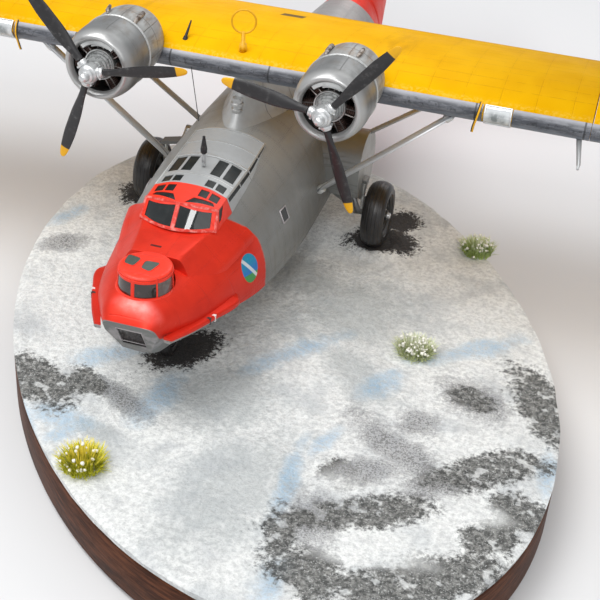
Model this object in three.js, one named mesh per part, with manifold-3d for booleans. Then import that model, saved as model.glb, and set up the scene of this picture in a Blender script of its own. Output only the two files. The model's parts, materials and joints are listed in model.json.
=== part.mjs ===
// A 1:72 scale model of a twin-engine amphibious flying boat. It is parked on its wheels on an
// oval wooden plinth with a snow-covered top.
//
// Millimetres. +X is port, +Y is aft and +Z is up. The origin is on the plinth's underside, below
// the aircraft's centreline. The aircraft has its own group, whose Y runs from a datum just ahead
// of the bow and whose Z runs from the top of the snow.

import * as THREE from 'three';
import { mergeVertices } from 'three/addons/utils/BufferGeometryUtils.js';
import Module from 'manifold-3d';

const wasm = await Module();
wasm.setup();

// Driving dimensions

const GAP = 0.3; // between pieces that touch
const SIDES = { port: 1, starboard: -1 };

const plinth = { x: 20, halfLong: 107.6, halfWide: 67.9, turnDeg: -62.5, height: 14, ground: 1.8 };
const datumY = -57; // the aircraft's datum, from the plinth's centre

const prop = { x: 29.3, y: 51.8, z: 61.7, tip: 25.4, root: 3.9, hub: 2.6 };
// Cowl and nacelle, measured aft from the propeller's plane
const cowl = { front: 3.2, rear: 15.4, radius: 9.3, mouth: 6.5 };
const nacelle = { front: 15.8, end: 34 };

const wing = {
  chord: 64.1, leadY: 76.6, leadZ: 58.2, incidenceDeg: 5.2, thick: 0.165, camber: 0.016,
  centreHalf: 89.2, tipX: 207.2, tipChord: 41, tipLeadY: 79.9,
};
const aileron = { inner: 118, outer: 204.5, hinge: 0.76 };

const mainWheel = { x: 34.8, y: 104.6, radius: 9.6, width: 6.4, rim: 4.8 };
const noseWheel = { y: 31, radius: 5.4, width: 3.4, rim: 2.7 };
const noseBay = { half: 3.8, front: 23.5, rear: 38.5, roof: 14.5 };
const wheelRecess = { y: 105, z: 24.5, radius: 9.9, floor: 16.6 };

const turret = { y: 15.6, roofRadius: 6.4, drumRadius: 6.6, floor: 26.5, top: 34.6, roof: 0.7 };
const canopy = { split: 44.1, wall: 0.8, glass: 0.7, lip: 0.5, glassFoot: 34.9 };
const blister = { y: 163, z: 29.5, x: 13.4, long: 13.5, high: 9.4, bulge: 9.6, wall: 0.8 };
const tailplaneZ = 59;
const loop = { x: -0.6, y: 81.8, z: 69.3 };

// Colours and surfaces

const finishes = {
  silver: { color: 0xaeb2b3, roughness: 0.42, metalness: 0.35 },
  red: { color: 0xd92a16, roughness: 0.45, metalness: 0 },
  yellow: { color: 0xf2b200, roughness: 0.5, metalness: 0 },
  blade: { color: 0x34373a, roughness: 0.45, metalness: 0.1 },
  bright: { color: 0xc8cbcc, roughness: 0.3, metalness: 0.6 },
  engine: { color: 0x3b302b, roughness: 0.6, metalness: 0.2 },
  rubber: { color: 0x17181a, roughness: 0.8, metalness: 0 },
  glass: { color: 0x2f3b40, roughness: 0.12, metalness: 0 },
  interior: { color: 0x3f4a3c, roughness: 0.8, metalness: 0 },
  wood: { color: 0x24140e, roughness: 0.55, metalness: 0 },
  snow: { color: 0xdfe3e6, roughness: 0.9, metalness: 0 },
  grass: { color: 0x9aa03c, roughness: 0.9, metalness: 0 },
};

function addPart(parent, name, geometry, finish) {
  const mesh = new THREE.Mesh(geometry, new THREE.MeshStandardMaterial(finishes[finish]));
  mesh.name = name;
  parent.add(mesh);
  return mesh;
}

// Solid helpers: cut and join closed meshes

function toSolid(geometry) {
  const bare = geometry.clone();
  bare.deleteAttribute('normal');
  bare.deleteAttribute('uv');
  const merged = mergeVertices(bare, 1e-4);
  return new wasm.Manifold(new wasm.Mesh({
    numProp: 3,
    vertProperties: new Float32Array(merged.attributes.position.array),
    triVerts: new Uint32Array(merged.index.array),
  }));
}

function toGeometry(solid) {
  const mesh = solid.getMesh();
  const geometry = new THREE.BufferGeometry();
  geometry.setAttribute('position', new THREE.BufferAttribute(mesh.vertProperties, 3));
  geometry.setIndex(new THREE.BufferAttribute(mesh.triVerts, 1));
  geometry.computeVertexNormals();
  return geometry;
}

const joined = (...geometries) => geometries.map(toSolid).reduce((a, b) => a.add(b));

// The main piece of a solid, without the slivers that a cut leaves beside it.
const mainPiece = (solid) => solid.decompose().sort((a, b) => b.volume() - a.volume())[0];

function signedVolume(positions, index) {
  let volume = 0;
  const corner = [0, 1, 2].map(() => new THREE.Vector3());
  for (let i = 0; i < index.length; i += 3) {
    corner.forEach((point, k) => point.fromArray(positions, 3 * index[i + k]));
    volume += corner[0].dot(corner[1].clone().cross(corner[2])) / 6;
  }
  return volume;
}

// A closed skin through rings of [x, y, z] points, each end closed to the middle of its ring.
function loft(rings) {
  const count = rings[0].length;
  const positions = rings.flat(2);
  for (const ring of [rings[0], rings.at(-1)]) {
    for (let axis = 0; axis < 3; axis += 1) {
      positions.push(ring.reduce((sum, point) => sum + point[axis], 0) / count);
    }
  }
  const last = rings.length - 1;
  const startMiddle = rings.length * count;
  const index = [];
  for (let i = 0; i < count; i += 1) {
    const next = (i + 1) % count;
    for (let k = 0; k < last; k += 1) {
      const a = k * count + i;
      const b = k * count + next;
      index.push(a, b, b + count, a, b + count, a + count);
    }
    index.push(startMiddle, next, i, startMiddle + 1, last * count + i, last * count + next);
  }
  if (signedVolume(positions, index) < 0) index.reverse();
  const geometry = new THREE.BufferGeometry();
  geometry.setAttribute('position', new THREE.Float32BufferAttribute(positions, 3));
  geometry.setIndex(index);
  geometry.computeVertexNormals();
  return geometry;
}

// A vertical block from z0 to z1 over a plan outline of [x, y] corners.
function prism(outline, z0, z1) {
  const shape = new THREE.Shape(outline.map(([x, y]) => new THREE.Vector2(x, y)));
  const geometry = new THREE.ExtrudeGeometry(shape, { depth: z1 - z0, bevelEnabled: false });
  return geometry.translate(0, 0, z0);
}

function box(x0, x1, y0, y1, z0, z1) {
  const geometry = new THREE.BoxGeometry(x1 - x0, y1 - y0, z1 - z0);
  return geometry.translate((x0 + x1) / 2, (y0 + y1) / 2, (z0 + z1) / 2);
}

// A round bar from one point to another, its second radius at the far end.
function bar(from, to, radius, endRadius = radius, segments = 10) {
  const start = new THREE.Vector3(...from);
  const run = new THREE.Vector3(...to).sub(start);
  const geometry = new THREE.CylinderGeometry(endRadius, radius, run.length(), segments);
  const turn = new THREE.Quaternion().setFromUnitVectors(
    new THREE.Vector3(0, 1, 0), run.clone().normalize());
  return geometry.applyQuaternion(turn).translate(...start.addScaledVector(run, 0.5).toArray());
}

// A turned shape about the Y axis from rows of [radius, y].
function turned(profile, segments = 24) {
  return new THREE.LatheGeometry(profile.map(([r, y]) => new THREE.Vector2(r, y)), segments);
}

// A streamlined bar whose section is a lens with its long side along Y.
function stay(from, to, chord, thick) {
  const ends = [from, to].map((point) => new THREE.Vector3(...point));
  const across = ends[1].clone().sub(ends[0]).cross(new THREE.Vector3(0, 1, 0)).normalize();
  return loft(ends.map((end) => [...Array(10).keys()].map((i) => {
    const angle = (i / 10) * 2 * Math.PI;
    const point = end.clone().addScaledVector(across, (thick / 2) * Math.sin(angle));
    point.y += (chord / 2) * Math.cos(angle);
    return point.toArray();
  })));
}

// Hull

// Columns: y, keel z, chine z, chine half-beam, deck z, arch power, bilge x share, bilge rise
// share, and how far each millimetre below the deck moves a point aft
const hullStations = [
  [4.9, 14.2, 21.0, 6.2, 25.2, 5.0, 0.56, 0.06, 0.54],
  [7.0, 13.2, 21.3, 7.9, 28.0, 3.2, 0.55, 0.12, 0.36],
  [11, 11.8, 21.3, 9.8, 29.8, 2.5, 0.52, 0.24, 0.16],
  [18, 10.2, 21.1, 12.9, 31.2, 2.2, 0.50, 0.36, 0],
  [26, 9.0, 19.6, 15.7, 33.0, 2.0, 0.50, 0.42, 0],
  [34, 8.1, 17.9, 17.5, 35.2, 1.95, 0.50, 0.44, 0],
  [44, 7.5, 16.3, 19.2, 39.6, 1.95, 0.50, 0.45, 0],
  [58, 7.0, 15.6, 20.8, 41.9, 2.0, 0.50, 0.45, 0],
  [74, 6.8, 15.3, 21.6, 43.2, 2.1, 0.50, 0.45, 0],
  [95, 6.6, 15.2, 21.4, 43.6, 2.2, 0.50, 0.45, 0],
  [117.6, 6.6, 15.2, 20.8, 43.6, 2.25, 0.50, 0.45, 0],
  [118, 9.0, 16.0, 20.6, 43.6, 2.25, 0.50, 0.45, 0],
  [140, 10.6, 17.4, 19.2, 43.4, 2.2, 0.50, 0.45, 0],
  [160, 12.4, 19.2, 17.2, 43.0, 2.1, 0.50, 0.45, 0],
  [180, 14.6, 21.2, 14.6, 42.5, 2.0, 0.50, 0.45, 0],
  [198, 17.0, 23.4, 11.2, 42.4, 2.0, 0.50, 0.45, 0],
  [198.5, 20.5, 26.0, 10.9, 42.4, 2.0, 0.50, 0.45, 0],
  [216, 25.4, 30.0, 8.2, 43.2, 2.0, 0.50, 0.40, 0],
  [236, 32.2, 36.2, 5.0, 45.4, 2.0, 0.50, 0.40, 0],
  [252.5, 40.2, 43.0, 1.9, 49.0, 2.0, 0.50, 0.40, 0],
];
const archSteps = 8;

function hullRing([y, keel, chine, half, deck, power, bilge, rise, rake], grow = 0) {
  const beam = half + grow;
  const top = deck + grow;
  const low = chine - grow;
  const port = [[bilge * beam, keel - grow + rise * (low - keel)], [beam, low]];
  for (let i = 1; i < archSteps; i += 1) {
    const angle = (i / archSteps) * (Math.PI / 2);
    port.push([
      beam * Math.cos(angle) ** (2 / power),
      low + (top - low) * Math.sin(angle) ** (2 / power),
    ]);
  }
  const ring = [[0, keel - grow], ...port, [0, top]];
  ring.push(...port.reverse().map(([x, z]) => [-x, z]));
  return ring.map(([x, z]) => [x, y + rake * (deck - z), z]);
}

const hullSkin = (grow) => toSolid(loft(hullStations.map((row) => hullRing(row, grow))));

// Flat-topped fairing from the turret to the windshield
// Columns: y, top half-width, top z, foot half-width, foot z
const fairingStations = [
  [14.6, 6.9, 34.2, 9.4, 27.5],
  [24, 7.4, 34.8, 11.6, 28.5],
  [35, 9.5, 35.1, 14.2, 30],
  [42, 9.2, 35.6, 14.6, 31],
];
const fairing = () => loft(fairingStations.map(([y, topX, topZ, footX, footZ]) => [
  [-footX, y, footZ], [footX, y, footZ], [topX, y, topZ - 0.5], [topX - 1.4, y, topZ],
  [1.4 - topX, y, topZ], [-topX, y, topZ - 0.5],
]));

// Columns: y, inner x, outer x, top z
const railStations = [
  [8.0, 7.4, 9.4, 21.7],
  [14, 10.2, 12.8, 21.9],
  [22, 13.6, 16.2, 22.0],
  [30, 16.2, 18.6, 21.8],
  [31.6, 16.8, 17.6, 21.6],
];
const sprayRail = (side) => loft(railStations.map(([y, inner, outer, z]) => [
  [side * inner, y, z], [side * outer, y, z - 0.5],
  [side * outer, y, z - 1.5], [side * inner, y, z - 1.3],
]));

// Canopy
// Columns: y at the side, y at the middle, sill half-width, sill z, edge half-width, edge z,
// shoulder half-width, shoulder z, crown z
const canopyStations = [
  [35.4, 30.6, 9.7, 33.4, 9.5, 34.7, 4.8, 35.2, 35.2],
  [38.0, 35.9, 10.3, 35.4, 8.8, 39.1, 4.8, 40.0, 40.3],
  [44.1, 44.1, 11.0, 36.4, 8.9, 39.4, 4.8, 41.0, 41.4],
  [59, 59, 10.9, 38.0, 9.5, 40.2, 5.0, 41.8, 42.4],
  [72.6, 72.6, 10.0, 39.4, 9.4, 41.4, 5.0, 43.0, 43.5],
];

// The canopy's outer shape, drawn in by `inset` and carried down to z = foot, or else to a lip
// below the sill.
function canopySkin(inset, foot) {
  const rings = canopyStations.map((row, k) => {
    const [sideY, midY, sillX, sillZ, edgeX, edgeZ, shoulderX, shoulderZ, crownZ] = row;
    const ends = canopyStations.length - 1;
    const shift = k === 0 ? inset * 1.4 : 0;
    const back = k === ends ? inset : 0;
    const shoulderY = (sideY + midY) / 2;
    const half = [
      [edgeX - inset, sideY, edgeZ - inset], [shoulderX - inset / 2, shoulderY, shoulderZ - inset],
    ];
    const footZ = Math.min(foot, sillZ - canopy.lip);
    const port = [[sillX - inset, sideY, footZ], [sillX - inset, sideY, sillZ], ...half];
    const ring = [
      ...port, [0, midY, crownZ - inset], ...port.toReversed().map(([x, y, z]) => [-x, y, z]),
    ];
    return ring.map(([x, y, z]) => [x, y + shift - back, z]);
  });
  return toSolid(loft(rings));
}

// Roof and windshield openings, as plan outlines on one side of the middle
// Columns: front y, rear y, inner x, outer x
const roofLights = [
  [40.4, 43.1, 3.2, 5.2], [40.4, 43.1, 6.0, 7.9],
  [45.0, 47.7, 3.2, 5.2], [45.0, 47.7, 6.0, 7.9],
  [50.4, 57.4, 2.6, 5.0], [50.4, 57.4, 5.9, 8.3],
];
// Columns: front y, rear y, low z, high z
const sideLights = [
  [38.9, 43.0, 36.2, 38.6], [45.2, 54.0, 37.4, 39.2], [55.0, 62.6, 38.9, 40.0],
];

// Plan corners of the small light above each windshield pane: x, y
const browLight = [[1.5, 37.0], [7.3, 38.8], [6.8, 39.3], [2.8, 38.9]];
// Corners of one windshield pane: x, z, and how far aft its opening is cut
const windshieldPane = [
  [0.7, 35.9, 34.5], [8.5, 35.4, 38.2], [8.2, 38.3, 38.6], [0.7, 39.4, 36.6],
];

function canopyOpenings() {
  let cuts = toSolid(box(-40, -39, 0, 1, 0, 1));
  for (const side of Object.values(SIDES)) {
    for (const [front, rear, inner, outer] of roofLights) {
      const corners = [[inner, front], [outer, front], [outer, rear], [inner, rear]];
      cuts = cuts.add(toSolid(prism(corners.map(([x, y]) => [side * x, y]), 38, 46)));
    }
    cuts = cuts.add(toSolid(prism(browLight.map(([x, y]) => [side * x, y]), 38.5, 46)));
    cuts = cuts.add(toSolid(loft([0, 1].map((end) => windshieldPane.map(([x, z, rear]) => [
      side * x, end ? rear : 27, z,
    ])))));
    for (const [front, rear, low, high] of sideLights) {
      const [near, far] = [side * 9.0, side * 14].sort((a, b) => a - b);
      cuts = cuts.add(toSolid(box(near, far, front, rear, low, high)));
    }
  }
  return cuts;
}

const canopyFoot = 32;
const canopyShell = canopySkin(0, 60).subtract(canopySkin(canopy.wall, canopyFoot))
  .subtract(canopyOpenings());
const canopyKeepOut = canopySkin(-GAP, canopyFoot)
  .add(canopySkin(0, 60).translate([0, -GAP, -GAP]));
const glazing = canopySkin(canopy.wall + GAP, 60)
  .subtract(canopySkin(canopy.wall + GAP + canopy.glass, canopyFoot))
  .subtract(toSolid(box(-20, 20, 20, 38, 20, canopy.glassFoot)));

// Waist blister, a bulged shell over an opening in the hull's side
function blisterBall(side, grow) {
  const ball = new THREE.SphereGeometry(1, 16, 10);
  ball.scale(blister.bulge + grow, blister.long + grow, blister.high + grow);
  return toSolid(ball.translate(side * blister.x, blister.y, blister.z));
}

const cockpitHollow = toSolid(box(-8, 8, 37.5, 70, 27, 41));
const waistHollow = toSolid(box(-30, 30, 154, 172, 23.5, 36.5));
const bowPaneFace = { y0: 6.0, z0: 22.6, y1: 9.2, z1: 16.8, half: 2.9, depth: 1.6 };

// A pane parallel to the slanted bow face, between two depths behind it
function bowPane(front, back, half) {
  const { y0, z0, y1, z1 } = bowPaneFace;
  return loft([-half, half].map((x) => [
    [x, y0 + front, z0], [x, y1 + front, z1], [x, y1 + back, z1], [x, y0 + back, z0],
  ]));
}

function hullSolid() {
  let solid = hullSkin(0).add(toSolid(fairing()));
  for (const side of Object.values(SIDES)) {
    solid = solid.add(toSolid(sprayRail(side)));
    const recess = bar([side * wheelRecess.floor, wheelRecess.y, wheelRecess.z],
      [side * 30, wheelRecess.y, wheelRecess.z], wheelRecess.radius, wheelRecess.radius, 28);
    solid = solid.subtract(toSolid(recess));
  }
  const well = bar([0, turret.y, turret.floor], [0, turret.y, 40],
    turret.drumRadius + GAP, turret.drumRadius + GAP, 28);
  solid = solid.subtract(toSolid(well));
  solid = solid.subtract(canopyKeepOut).subtract(cockpitHollow).subtract(waistHollow);
  solid = solid.subtract(toSolid(bowPane(-3, bowPaneFace.depth, bowPaneFace.half)));
  const { half, front, rear, roof } = noseBay;
  return solid.subtract(toSolid(box(-half, half, front, rear, 0, roof)));
}

// Wing

// Section outline at one span position, from the trailing edge over the top and back below.
function wingRing(x, leadY, chord, grow = 0) {
  const steps = 9;
  const tilt = THREE.MathUtils.degToRad(wing.incidenceDeg);
  const leadZ = wing.leadZ - (leadY - wing.leadY) * Math.sin(tilt);
  const half = (t) => 5 * wing.thick * (0.2969 * Math.sqrt(t) - 0.126 * t - 0.3516 * t ** 2
    + 0.2843 * t ** 3 - 0.1036 * t ** 4);
  const middle = (t) => wing.camber * (1 - (2 * t - 0.8) ** 2 / (t < 0.4 ? 0.64 : 1.44));
  const point = (t, face) => {
    const along = t * chord + (t === 0 ? -grow : 0) + (t === 1 ? grow : 0);
    const rise = (middle(t) + face * Math.max(half(t), 0.004)) * chord + face * grow;
    return [x, leadY + along * Math.cos(tilt) + rise * Math.sin(tilt),
      leadZ - along * Math.sin(tilt) + rise * Math.cos(tilt)];
  };
  const share = (i) => (1 - Math.cos((i / steps) * Math.PI)) / 2;
  const ring = [];
  for (let i = steps; i > 0; i -= 1) ring.push(point(share(i), 1));
  ring.push(point(0, 0));
  for (let i = 1; i <= steps; i += 1) ring.push(point(share(i), -1));
  return ring;
}

// Columns: share of the outer panel's span, share of its taper
const outerSpans = [[0, 0], [0.5, 0.44], [0.94, 0.93], [1, 1]];

function outerRings(side, grow = 0) {
  const start = wing.centreHalf + GAP;
  return outerSpans.map(([span, taper]) => wingRing(
    side * (start + span * (wing.tipX - start)),
    THREE.MathUtils.lerp(wing.leadY, wing.tipLeadY, span),
    THREE.MathUtils.lerp(wing.chord, wing.tipChord, taper),
    grow,
  ));
}

const centreWing = (grow) => toSolid(loft([-1, 1].map((side) =>
  wingRing(side * wing.centreHalf, wing.leadY, wing.chord, grow))));

// The plan area behind the aileron's hinge, opened by a margin all round.
function aileronZone(side, margin) {
  const start = wing.centreHalf;
  const hingeY = (x) => {
    const span = (x - start) / (wing.tipX - start);
    const lead = THREE.MathUtils.lerp(wing.leadY, wing.tipLeadY, span);
    return lead + aileron.hinge * THREE.MathUtils.lerp(wing.chord, wing.tipChord, span);
  };
  const inner = aileron.inner - margin;
  const outer = aileron.outer + margin;
  return toSolid(prism([
    [side * inner, hingeY(inner) - margin], [side * outer, hingeY(outer) - margin],
    [side * outer, 170], [side * inner, 170],
  ], 30, 80));
}

// Float folded up to form the wingtip: it lies along the tip with its keel outboard
// Columns: y, keel x, half height
const floatStations = [
  [78.8, 208.6, 0.5], [82, 213.2, 3.3], [88, 217.6, 4.6], [98, 220.1, 4.9],
  [108, 219.4, 4.4], [116, 216.2, 3.4], [122.5, 211.6, 1.9], [126.2, 208.4, 0.4],
];
const floatDeckX = wing.tipX + GAP;

const wingtipFloat = (side) => loft(floatStations.map(([y, keelX, half]) => {
  const z = wing.leadZ + 0.6 - (y - wing.leadY) * 0.091;
  const chineX = THREE.MathUtils.lerp(floatDeckX, keelX, 0.45);
  return [
    [side * floatDeckX, y, z - 0.8 * half], [side * chineX, y, z - half], [side * keelX, y, z],
    [side * chineX, y, z + half], [side * floatDeckX, y, z + 0.8 * half],
  ];
}));

// Pylon between hull and wing
// Columns: z, front y, rear y, half-width
const pylonStations = [
  [41.5, 71.6, 138, 8.6], [45.5, 74.4, 133, 7.2], [50.5, 77.6, 130, 6.6], [62, 80, 128, 6.6],
];
const pylonSolid = () => toSolid(loft(pylonStations.map(([z, front, rear, half]) => {
  const shape = [
    [0, 0], [0.32, 0.01], [0.5, 0.08], [0.8, 0.2], [1, 0.5], [0.72, 0.78], [0.3, 0.95], [0, 1],
  ];
  const port = shape.map(([x, t]) => [x * half, THREE.MathUtils.lerp(front, rear, t), z]);
  return [...port, ...port.slice(1, -1).reverse().map(([x, y]) => [-x, y, z])];
})));

// Engines

const cowlProfile = [
  [cowl.mouth, 4.6], [6.9, 3.6], [7.5, cowl.front], [8.2, 3.7], [8.9, 5.4], [cowl.radius, 8.5],
  [cowl.radius, 12.6], [9.1, cowl.rear], [8.6, cowl.rear], [8.7, 9], [8.2, 6.6], [7.2, 5.6],
  [cowl.mouth, 4.6],
];

// The nacelle's rounded end is sunk in the wing.
const nacelleProfile = [
  [0, nacelle.front], [8.4, nacelle.front], [9.1, 17.6], [9.1, 20.6], [9.0, 23.2], [8.5, 26],
  [7.6, 28.4], [6.2, 30.8], [4, 32.8], [0, nacelle.end],
];
const engineProfile = [
  [0, 2.6], [1.9, 2.6], [2.4, 3.6], [3.3, 5.2], [3.5, 13.2], [8.2, 13.6], [8.2, cowl.rear],
  [0, cowl.rear],
];
const cylinderRows = [{ y: 8.0, turn: 0 }, { y: 11.2, turn: 0.5 }];
const cylindersPerRow = 7;

function radialEngine() {
  let solid = toSolid(turned(engineProfile, 16));
  for (const row of cylinderRows) {
    for (let i = 0; i < cylindersPerRow; i += 1) {
      const angle = ((i + row.turn) / cylindersPerRow) * 2 * Math.PI;
      const out = (r) => [r * Math.sin(angle), row.y, r * Math.cos(angle)];
      solid = solid.add(toSolid(bar(out(2), out(7.7), 1.4, 1.2, 7)));
    }
  }
  return solid;
}

// Propellers

const hubProfile = [
  [0, -4.7], [0.8, -4.5], [1.25, -3.8], [1.3, -2.6], [1.9, -2.3], [2.4, -1.6], [prop.hub, -0.6],
  [prop.hub, 1.0], [1.7, 1.5], [1.7, 2.3], [0, 2.3],
];
// Columns: radius, chord, thickness, pitch in degrees
const bladeStations = [
  [prop.root, 1.8, 1.7, 44], [6.2, 2.1, 1.5, 38], [9, 2.9, 1.1, 29], [13, 3.5, 0.85, 21],
  [17.5, 3.7, 0.7, 15], [21.5, 3.4, 0.55, 12], [24.2, 2.5, 0.45, 10], [prop.tip, 1.3, 0.35, 9],
];

// One blade along +Z, its chord turned out of the propeller's plane by its pitch.
const blade = () => loft(bladeStations.map(([radius, chord, thick, pitch]) => {
  const turn = THREE.MathUtils.degToRad(pitch);
  return [...Array(10).keys()].map((i) => {
    const angle = (i / 10) * 2 * Math.PI;
    const along = (chord / 2) * Math.cos(angle);
    const out = (thick / 2) * Math.sin(angle);
    return [
      -along * Math.cos(turn) + out * Math.sin(turn),
      -along * Math.sin(turn) - out * Math.cos(turn),
      radius,
    ];
  });
}));

function propHub() {
  let solid = toSolid(turned(hubProfile, 14));
  for (let i = 0; i < 3; i += 1) {
    const angle = (i / 3) * 2 * Math.PI;
    const out = (r) => [r * Math.sin(angle), 0, r * Math.cos(angle)];
    solid = solid.add(toSolid(bar(out(0.5), out(prop.root - GAP), 1.25, 1.25, 8)));
  }
  return solid;
}

// Wheels and gear

const tyreProfile = ({ radius, width, rim }) => {
  const inner = rim + GAP;
  const half = width / 2;
  const rows = [
    [inner, -0.72], [0.6 * radius + 0.4 * inner, -1], [0.84 * radius, -0.94], [0.96 * radius, -0.6],
    [radius, -0.2], [radius, 0.2], [0.96 * radius, 0.6], [0.84 * radius, 0.94],
    [0.6 * radius + 0.4 * inner, 1], [inner, 0.72], [inner, -0.72],
  ];
  return rows.map(([r, share]) => [r, share * half]);
};
const wheelHubProfile = ({ width, rim }) => {
  const half = width / 2;
  return [
    [0, -0.9 * half], [0.3 * rim, -0.9 * half], [0.34 * rim, -0.5 * half], [0.8 * rim, -0.45 * half],
    [0.86 * rim, -0.66 * half], [rim, -0.66 * half], [rim, 0.66 * half], [0.86 * rim, 0.66 * half],
    [0.8 * rim, 0.45 * half], [0.34 * rim, 0.5 * half], [0.3 * rim, 0.9 * half], [0, 0.9 * half],
  ];
};

// A wheel's two pieces in a group at its centre, turning about X.
function addWheel(parent, names, size, centre) {
  const wheel = new THREE.Group();
  wheel.position.set(...centre);
  wheel.rotation.z = Math.PI / 2;
  addPart(wheel, names.tyre, turned(tyreProfile(size), 24), 'rubber');
  addPart(wheel, names.hub, turned(wheelHubProfile(size), 14), 'engine');
  parent.add(wheel);
}

const mainAxleZ = mainWheel.radius + GAP;
const noseAxleZ = noseWheel.radius + GAP;

// The space that the hull fills beside a leg, open where the wheel recess is.
function hullBesideLeg(side) {
  const { floor, y, z, radius } = wheelRecess;
  const recess = bar([side * floor, y, z], [side * 30, y, z], radius - GAP, radius - GAP, 28);
  return hullSkin(GAP).subtract(toSolid(recess));
}

function mainLeg(side) {
  const { y } = mainWheel;
  const stub = mainWheel.x - 0.45 * mainWheel.width - GAP;
  const at = (x, py, z) => [side * x, py, z];
  return joined(
    bar(at(27.6, y, mainAxleZ), at(stub, y, mainAxleZ), 1.2),
    bar(at(28.6, y, mainAxleZ - 0.6), at(22.6, 102.4, 27), 1.25, 1.0),
    bar(at(22.9, 102.4, 26.6), at(16.9, 102.4, 26.6), 0.9),
    bar(at(28.4, y, mainAxleZ + 0.4), at(16.9, 103, 18.2), 0.95),
    bar(at(27.9, y, mainAxleZ + 1.2), at(21, 97.4, 21.6), 0.7),
    bar(at(21.2, 97.6, 21.6), at(16.9, 98.6, 21.6), 0.8),
  ).subtract(hullBesideLeg(side));
}

function noseLeg() {
  const half = noseWheel.width / 2 + 0.9;
  const reach = (noseWheel.width * 0.9) / 2 + GAP;
  const parts = [
    bar([0, 30, noseBay.roof - GAP], [0, 30.6, noseAxleZ + noseWheel.radius + 1.2], 1.2),
  ];
  parts.push(box(-half - 0.35, half + 0.35, 29.6, 31.8, 11.9, 12.9));
  for (const side of Object.values(SIDES)) {
    parts.push(bar([side * half, 30.7, 12.4], [side * half, noseWheel.y, noseAxleZ - 0.6], 0.6));
    parts.push(bar([side * (half + 0.4), noseWheel.y, noseAxleZ],
      [side * reach, noseWheel.y, noseAxleZ], 0.7));
  }
  return joined(...parts);
}

// Tail

// Columns: z, leading edge y, trailing edge y, thickness
const finStations = [
  [40.5, 208, 252.4, 6.4], [46, 218, 252.4, 5.8], [52, 226.5, 252.4, 5.2],
  [66, 236.5, 252.4, 4.2], [78, 242.6, 252.4, 3.0], [84.6, 248.4, 252.4, 1.6],
];
const rudderStations = [
  [44.6, 252.9, 262.5, 2.2], [50, 252.9, 269.5, 3.2], [60, 252.9, 273.4, 3.4],
  [70, 252.9, 272.2, 3.0], [79, 252.9, 266.8, 2.2], [84.6, 252.9, 257.5, 1.2],
];

// A slab of streamlined sections stacked along Z.
const uprightFoil = (stations) => loft(stations.map(([z, front, rear, thick]) => {
  const port = [[0, 0], [0.62, 0.06], [1, 0.28], [0.92, 0.6], [0.35, 1]]
    .map(([x, t]) => [(x * thick) / 2, THREE.MathUtils.lerp(front, rear, t), z]);
  return [...port, ...port.slice(1).reverse().map(([x, y]) => [-x, y, z])];
}));

// Columns: x, leading edge y, hinge y, trailing edge y, thickness
const tailplaneStations = [
  [0, 224.5, 246, 260.5, 4.4], [20, 225.5, 246, 261, 4.0], [48, 229, 246, 258.8, 2.9],
  [60, 232.5, 246, 255.6, 2.0], [64.7, 238.5, 246, 251.4, 1.0],
];
const flatFoil = (side, front, rear) => loft(tailplaneStations.map((row) => {
  const port = [[0, 0], [0.62, 0.06], [1, 0.3], [0.9, 0.65], [0.3, 1]]
    .map(([h, t]) => [side * row[0], THREE.MathUtils.lerp(front(row), rear(row), t), h * row[4] / 2]);
  const low = port.slice(1).reverse().map(([x, y, h]) => [x, y, -h]);
  return [...port, ...low].map(([x, y, h]) => [x, y, tailplaneZ + h]);
}));

// Assembly

const model = new THREE.Group();
const aircraft = new THREE.Group();
aircraft.position.set(0, datumY, plinth.height);
model.add(aircraft);

function buildPlinth() {
  const base = new THREE.Group();
  base.position.x = plinth.x;
  const turn = THREE.MathUtils.degToRad(plinth.turnDeg);
  const oval = (z0, z1) => {
    const rim = [...Array(64).keys()].map((i) => {
      const angle = (i / 64) * 2 * Math.PI;
      return [plinth.halfLong * Math.cos(angle), plinth.halfWide * Math.sin(angle)];
    });
    return prism(rim, z0, z1).rotateZ(turn);
  };
  const woodTop = plinth.height - plinth.ground;
  addPart(base, 'plinth_block', oval(0, woodTop), 'wood');
  addPart(base, 'ground_cover', oval(woodTop, plinth.height), 'snow');
  model.add(base);
  // Columns: x, y from the aircraft's datum, radius, height
  const tufts = [[57.7, 54.9, 6.0, 4.4], [64.1, 111.5, 5.6, 4.2], [-1.4, -14.6, 5.6, 5.0]];
  tufts.forEach(([x, y, radius, height], i) => {
    const rows = [[0, 0], [0.8, 0], [1, 0.3], [0.85, 0.7], [0.45, 0.95], [0, 1]];
    const dome = turned(rows.map(([r, h]) => [r * radius, h * height]), 12).rotateX(Math.PI / 2);
    addPart(aircraft, `grass_tuft_${i + 1}`, dome, 'grass').position.set(x, y, 0);
  });
}

function buildHull() {
  addPart(aircraft, 'hull', toGeometry(hullSolid()), 'silver');
  const pane = bowPane(0.5, bowPaneFace.depth - GAP, bowPaneFace.half - GAP);
  addPart(aircraft, 'bow_window', pane, 'glass');
  const roofFoot = turret.top - turret.roof;
  const drum = [
    [0, turret.floor + GAP], [turret.drumRadius, turret.floor + GAP],
    [turret.drumRadius, turret.floor + 4.5], [turret.roofRadius - 0.1, roofFoot - GAP],
    [0, roofFoot - GAP],
  ];
  const roof = [
    [0, roofFoot], [turret.roofRadius, roofFoot], [turret.roofRadius, turret.top - 0.3],
    [turret.roofRadius - 0.5, turret.top], [0, turret.top],
  ];
  for (const [name, profile, finish] of [['turret_drum', drum, 'glass'], ['turret_roof', roof, 'red']]) {
    addPart(aircraft, name, turned(profile, 24).rotateX(Math.PI / 2), finish)
      .position.set(0, turret.y, 0);
  }
}

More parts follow.
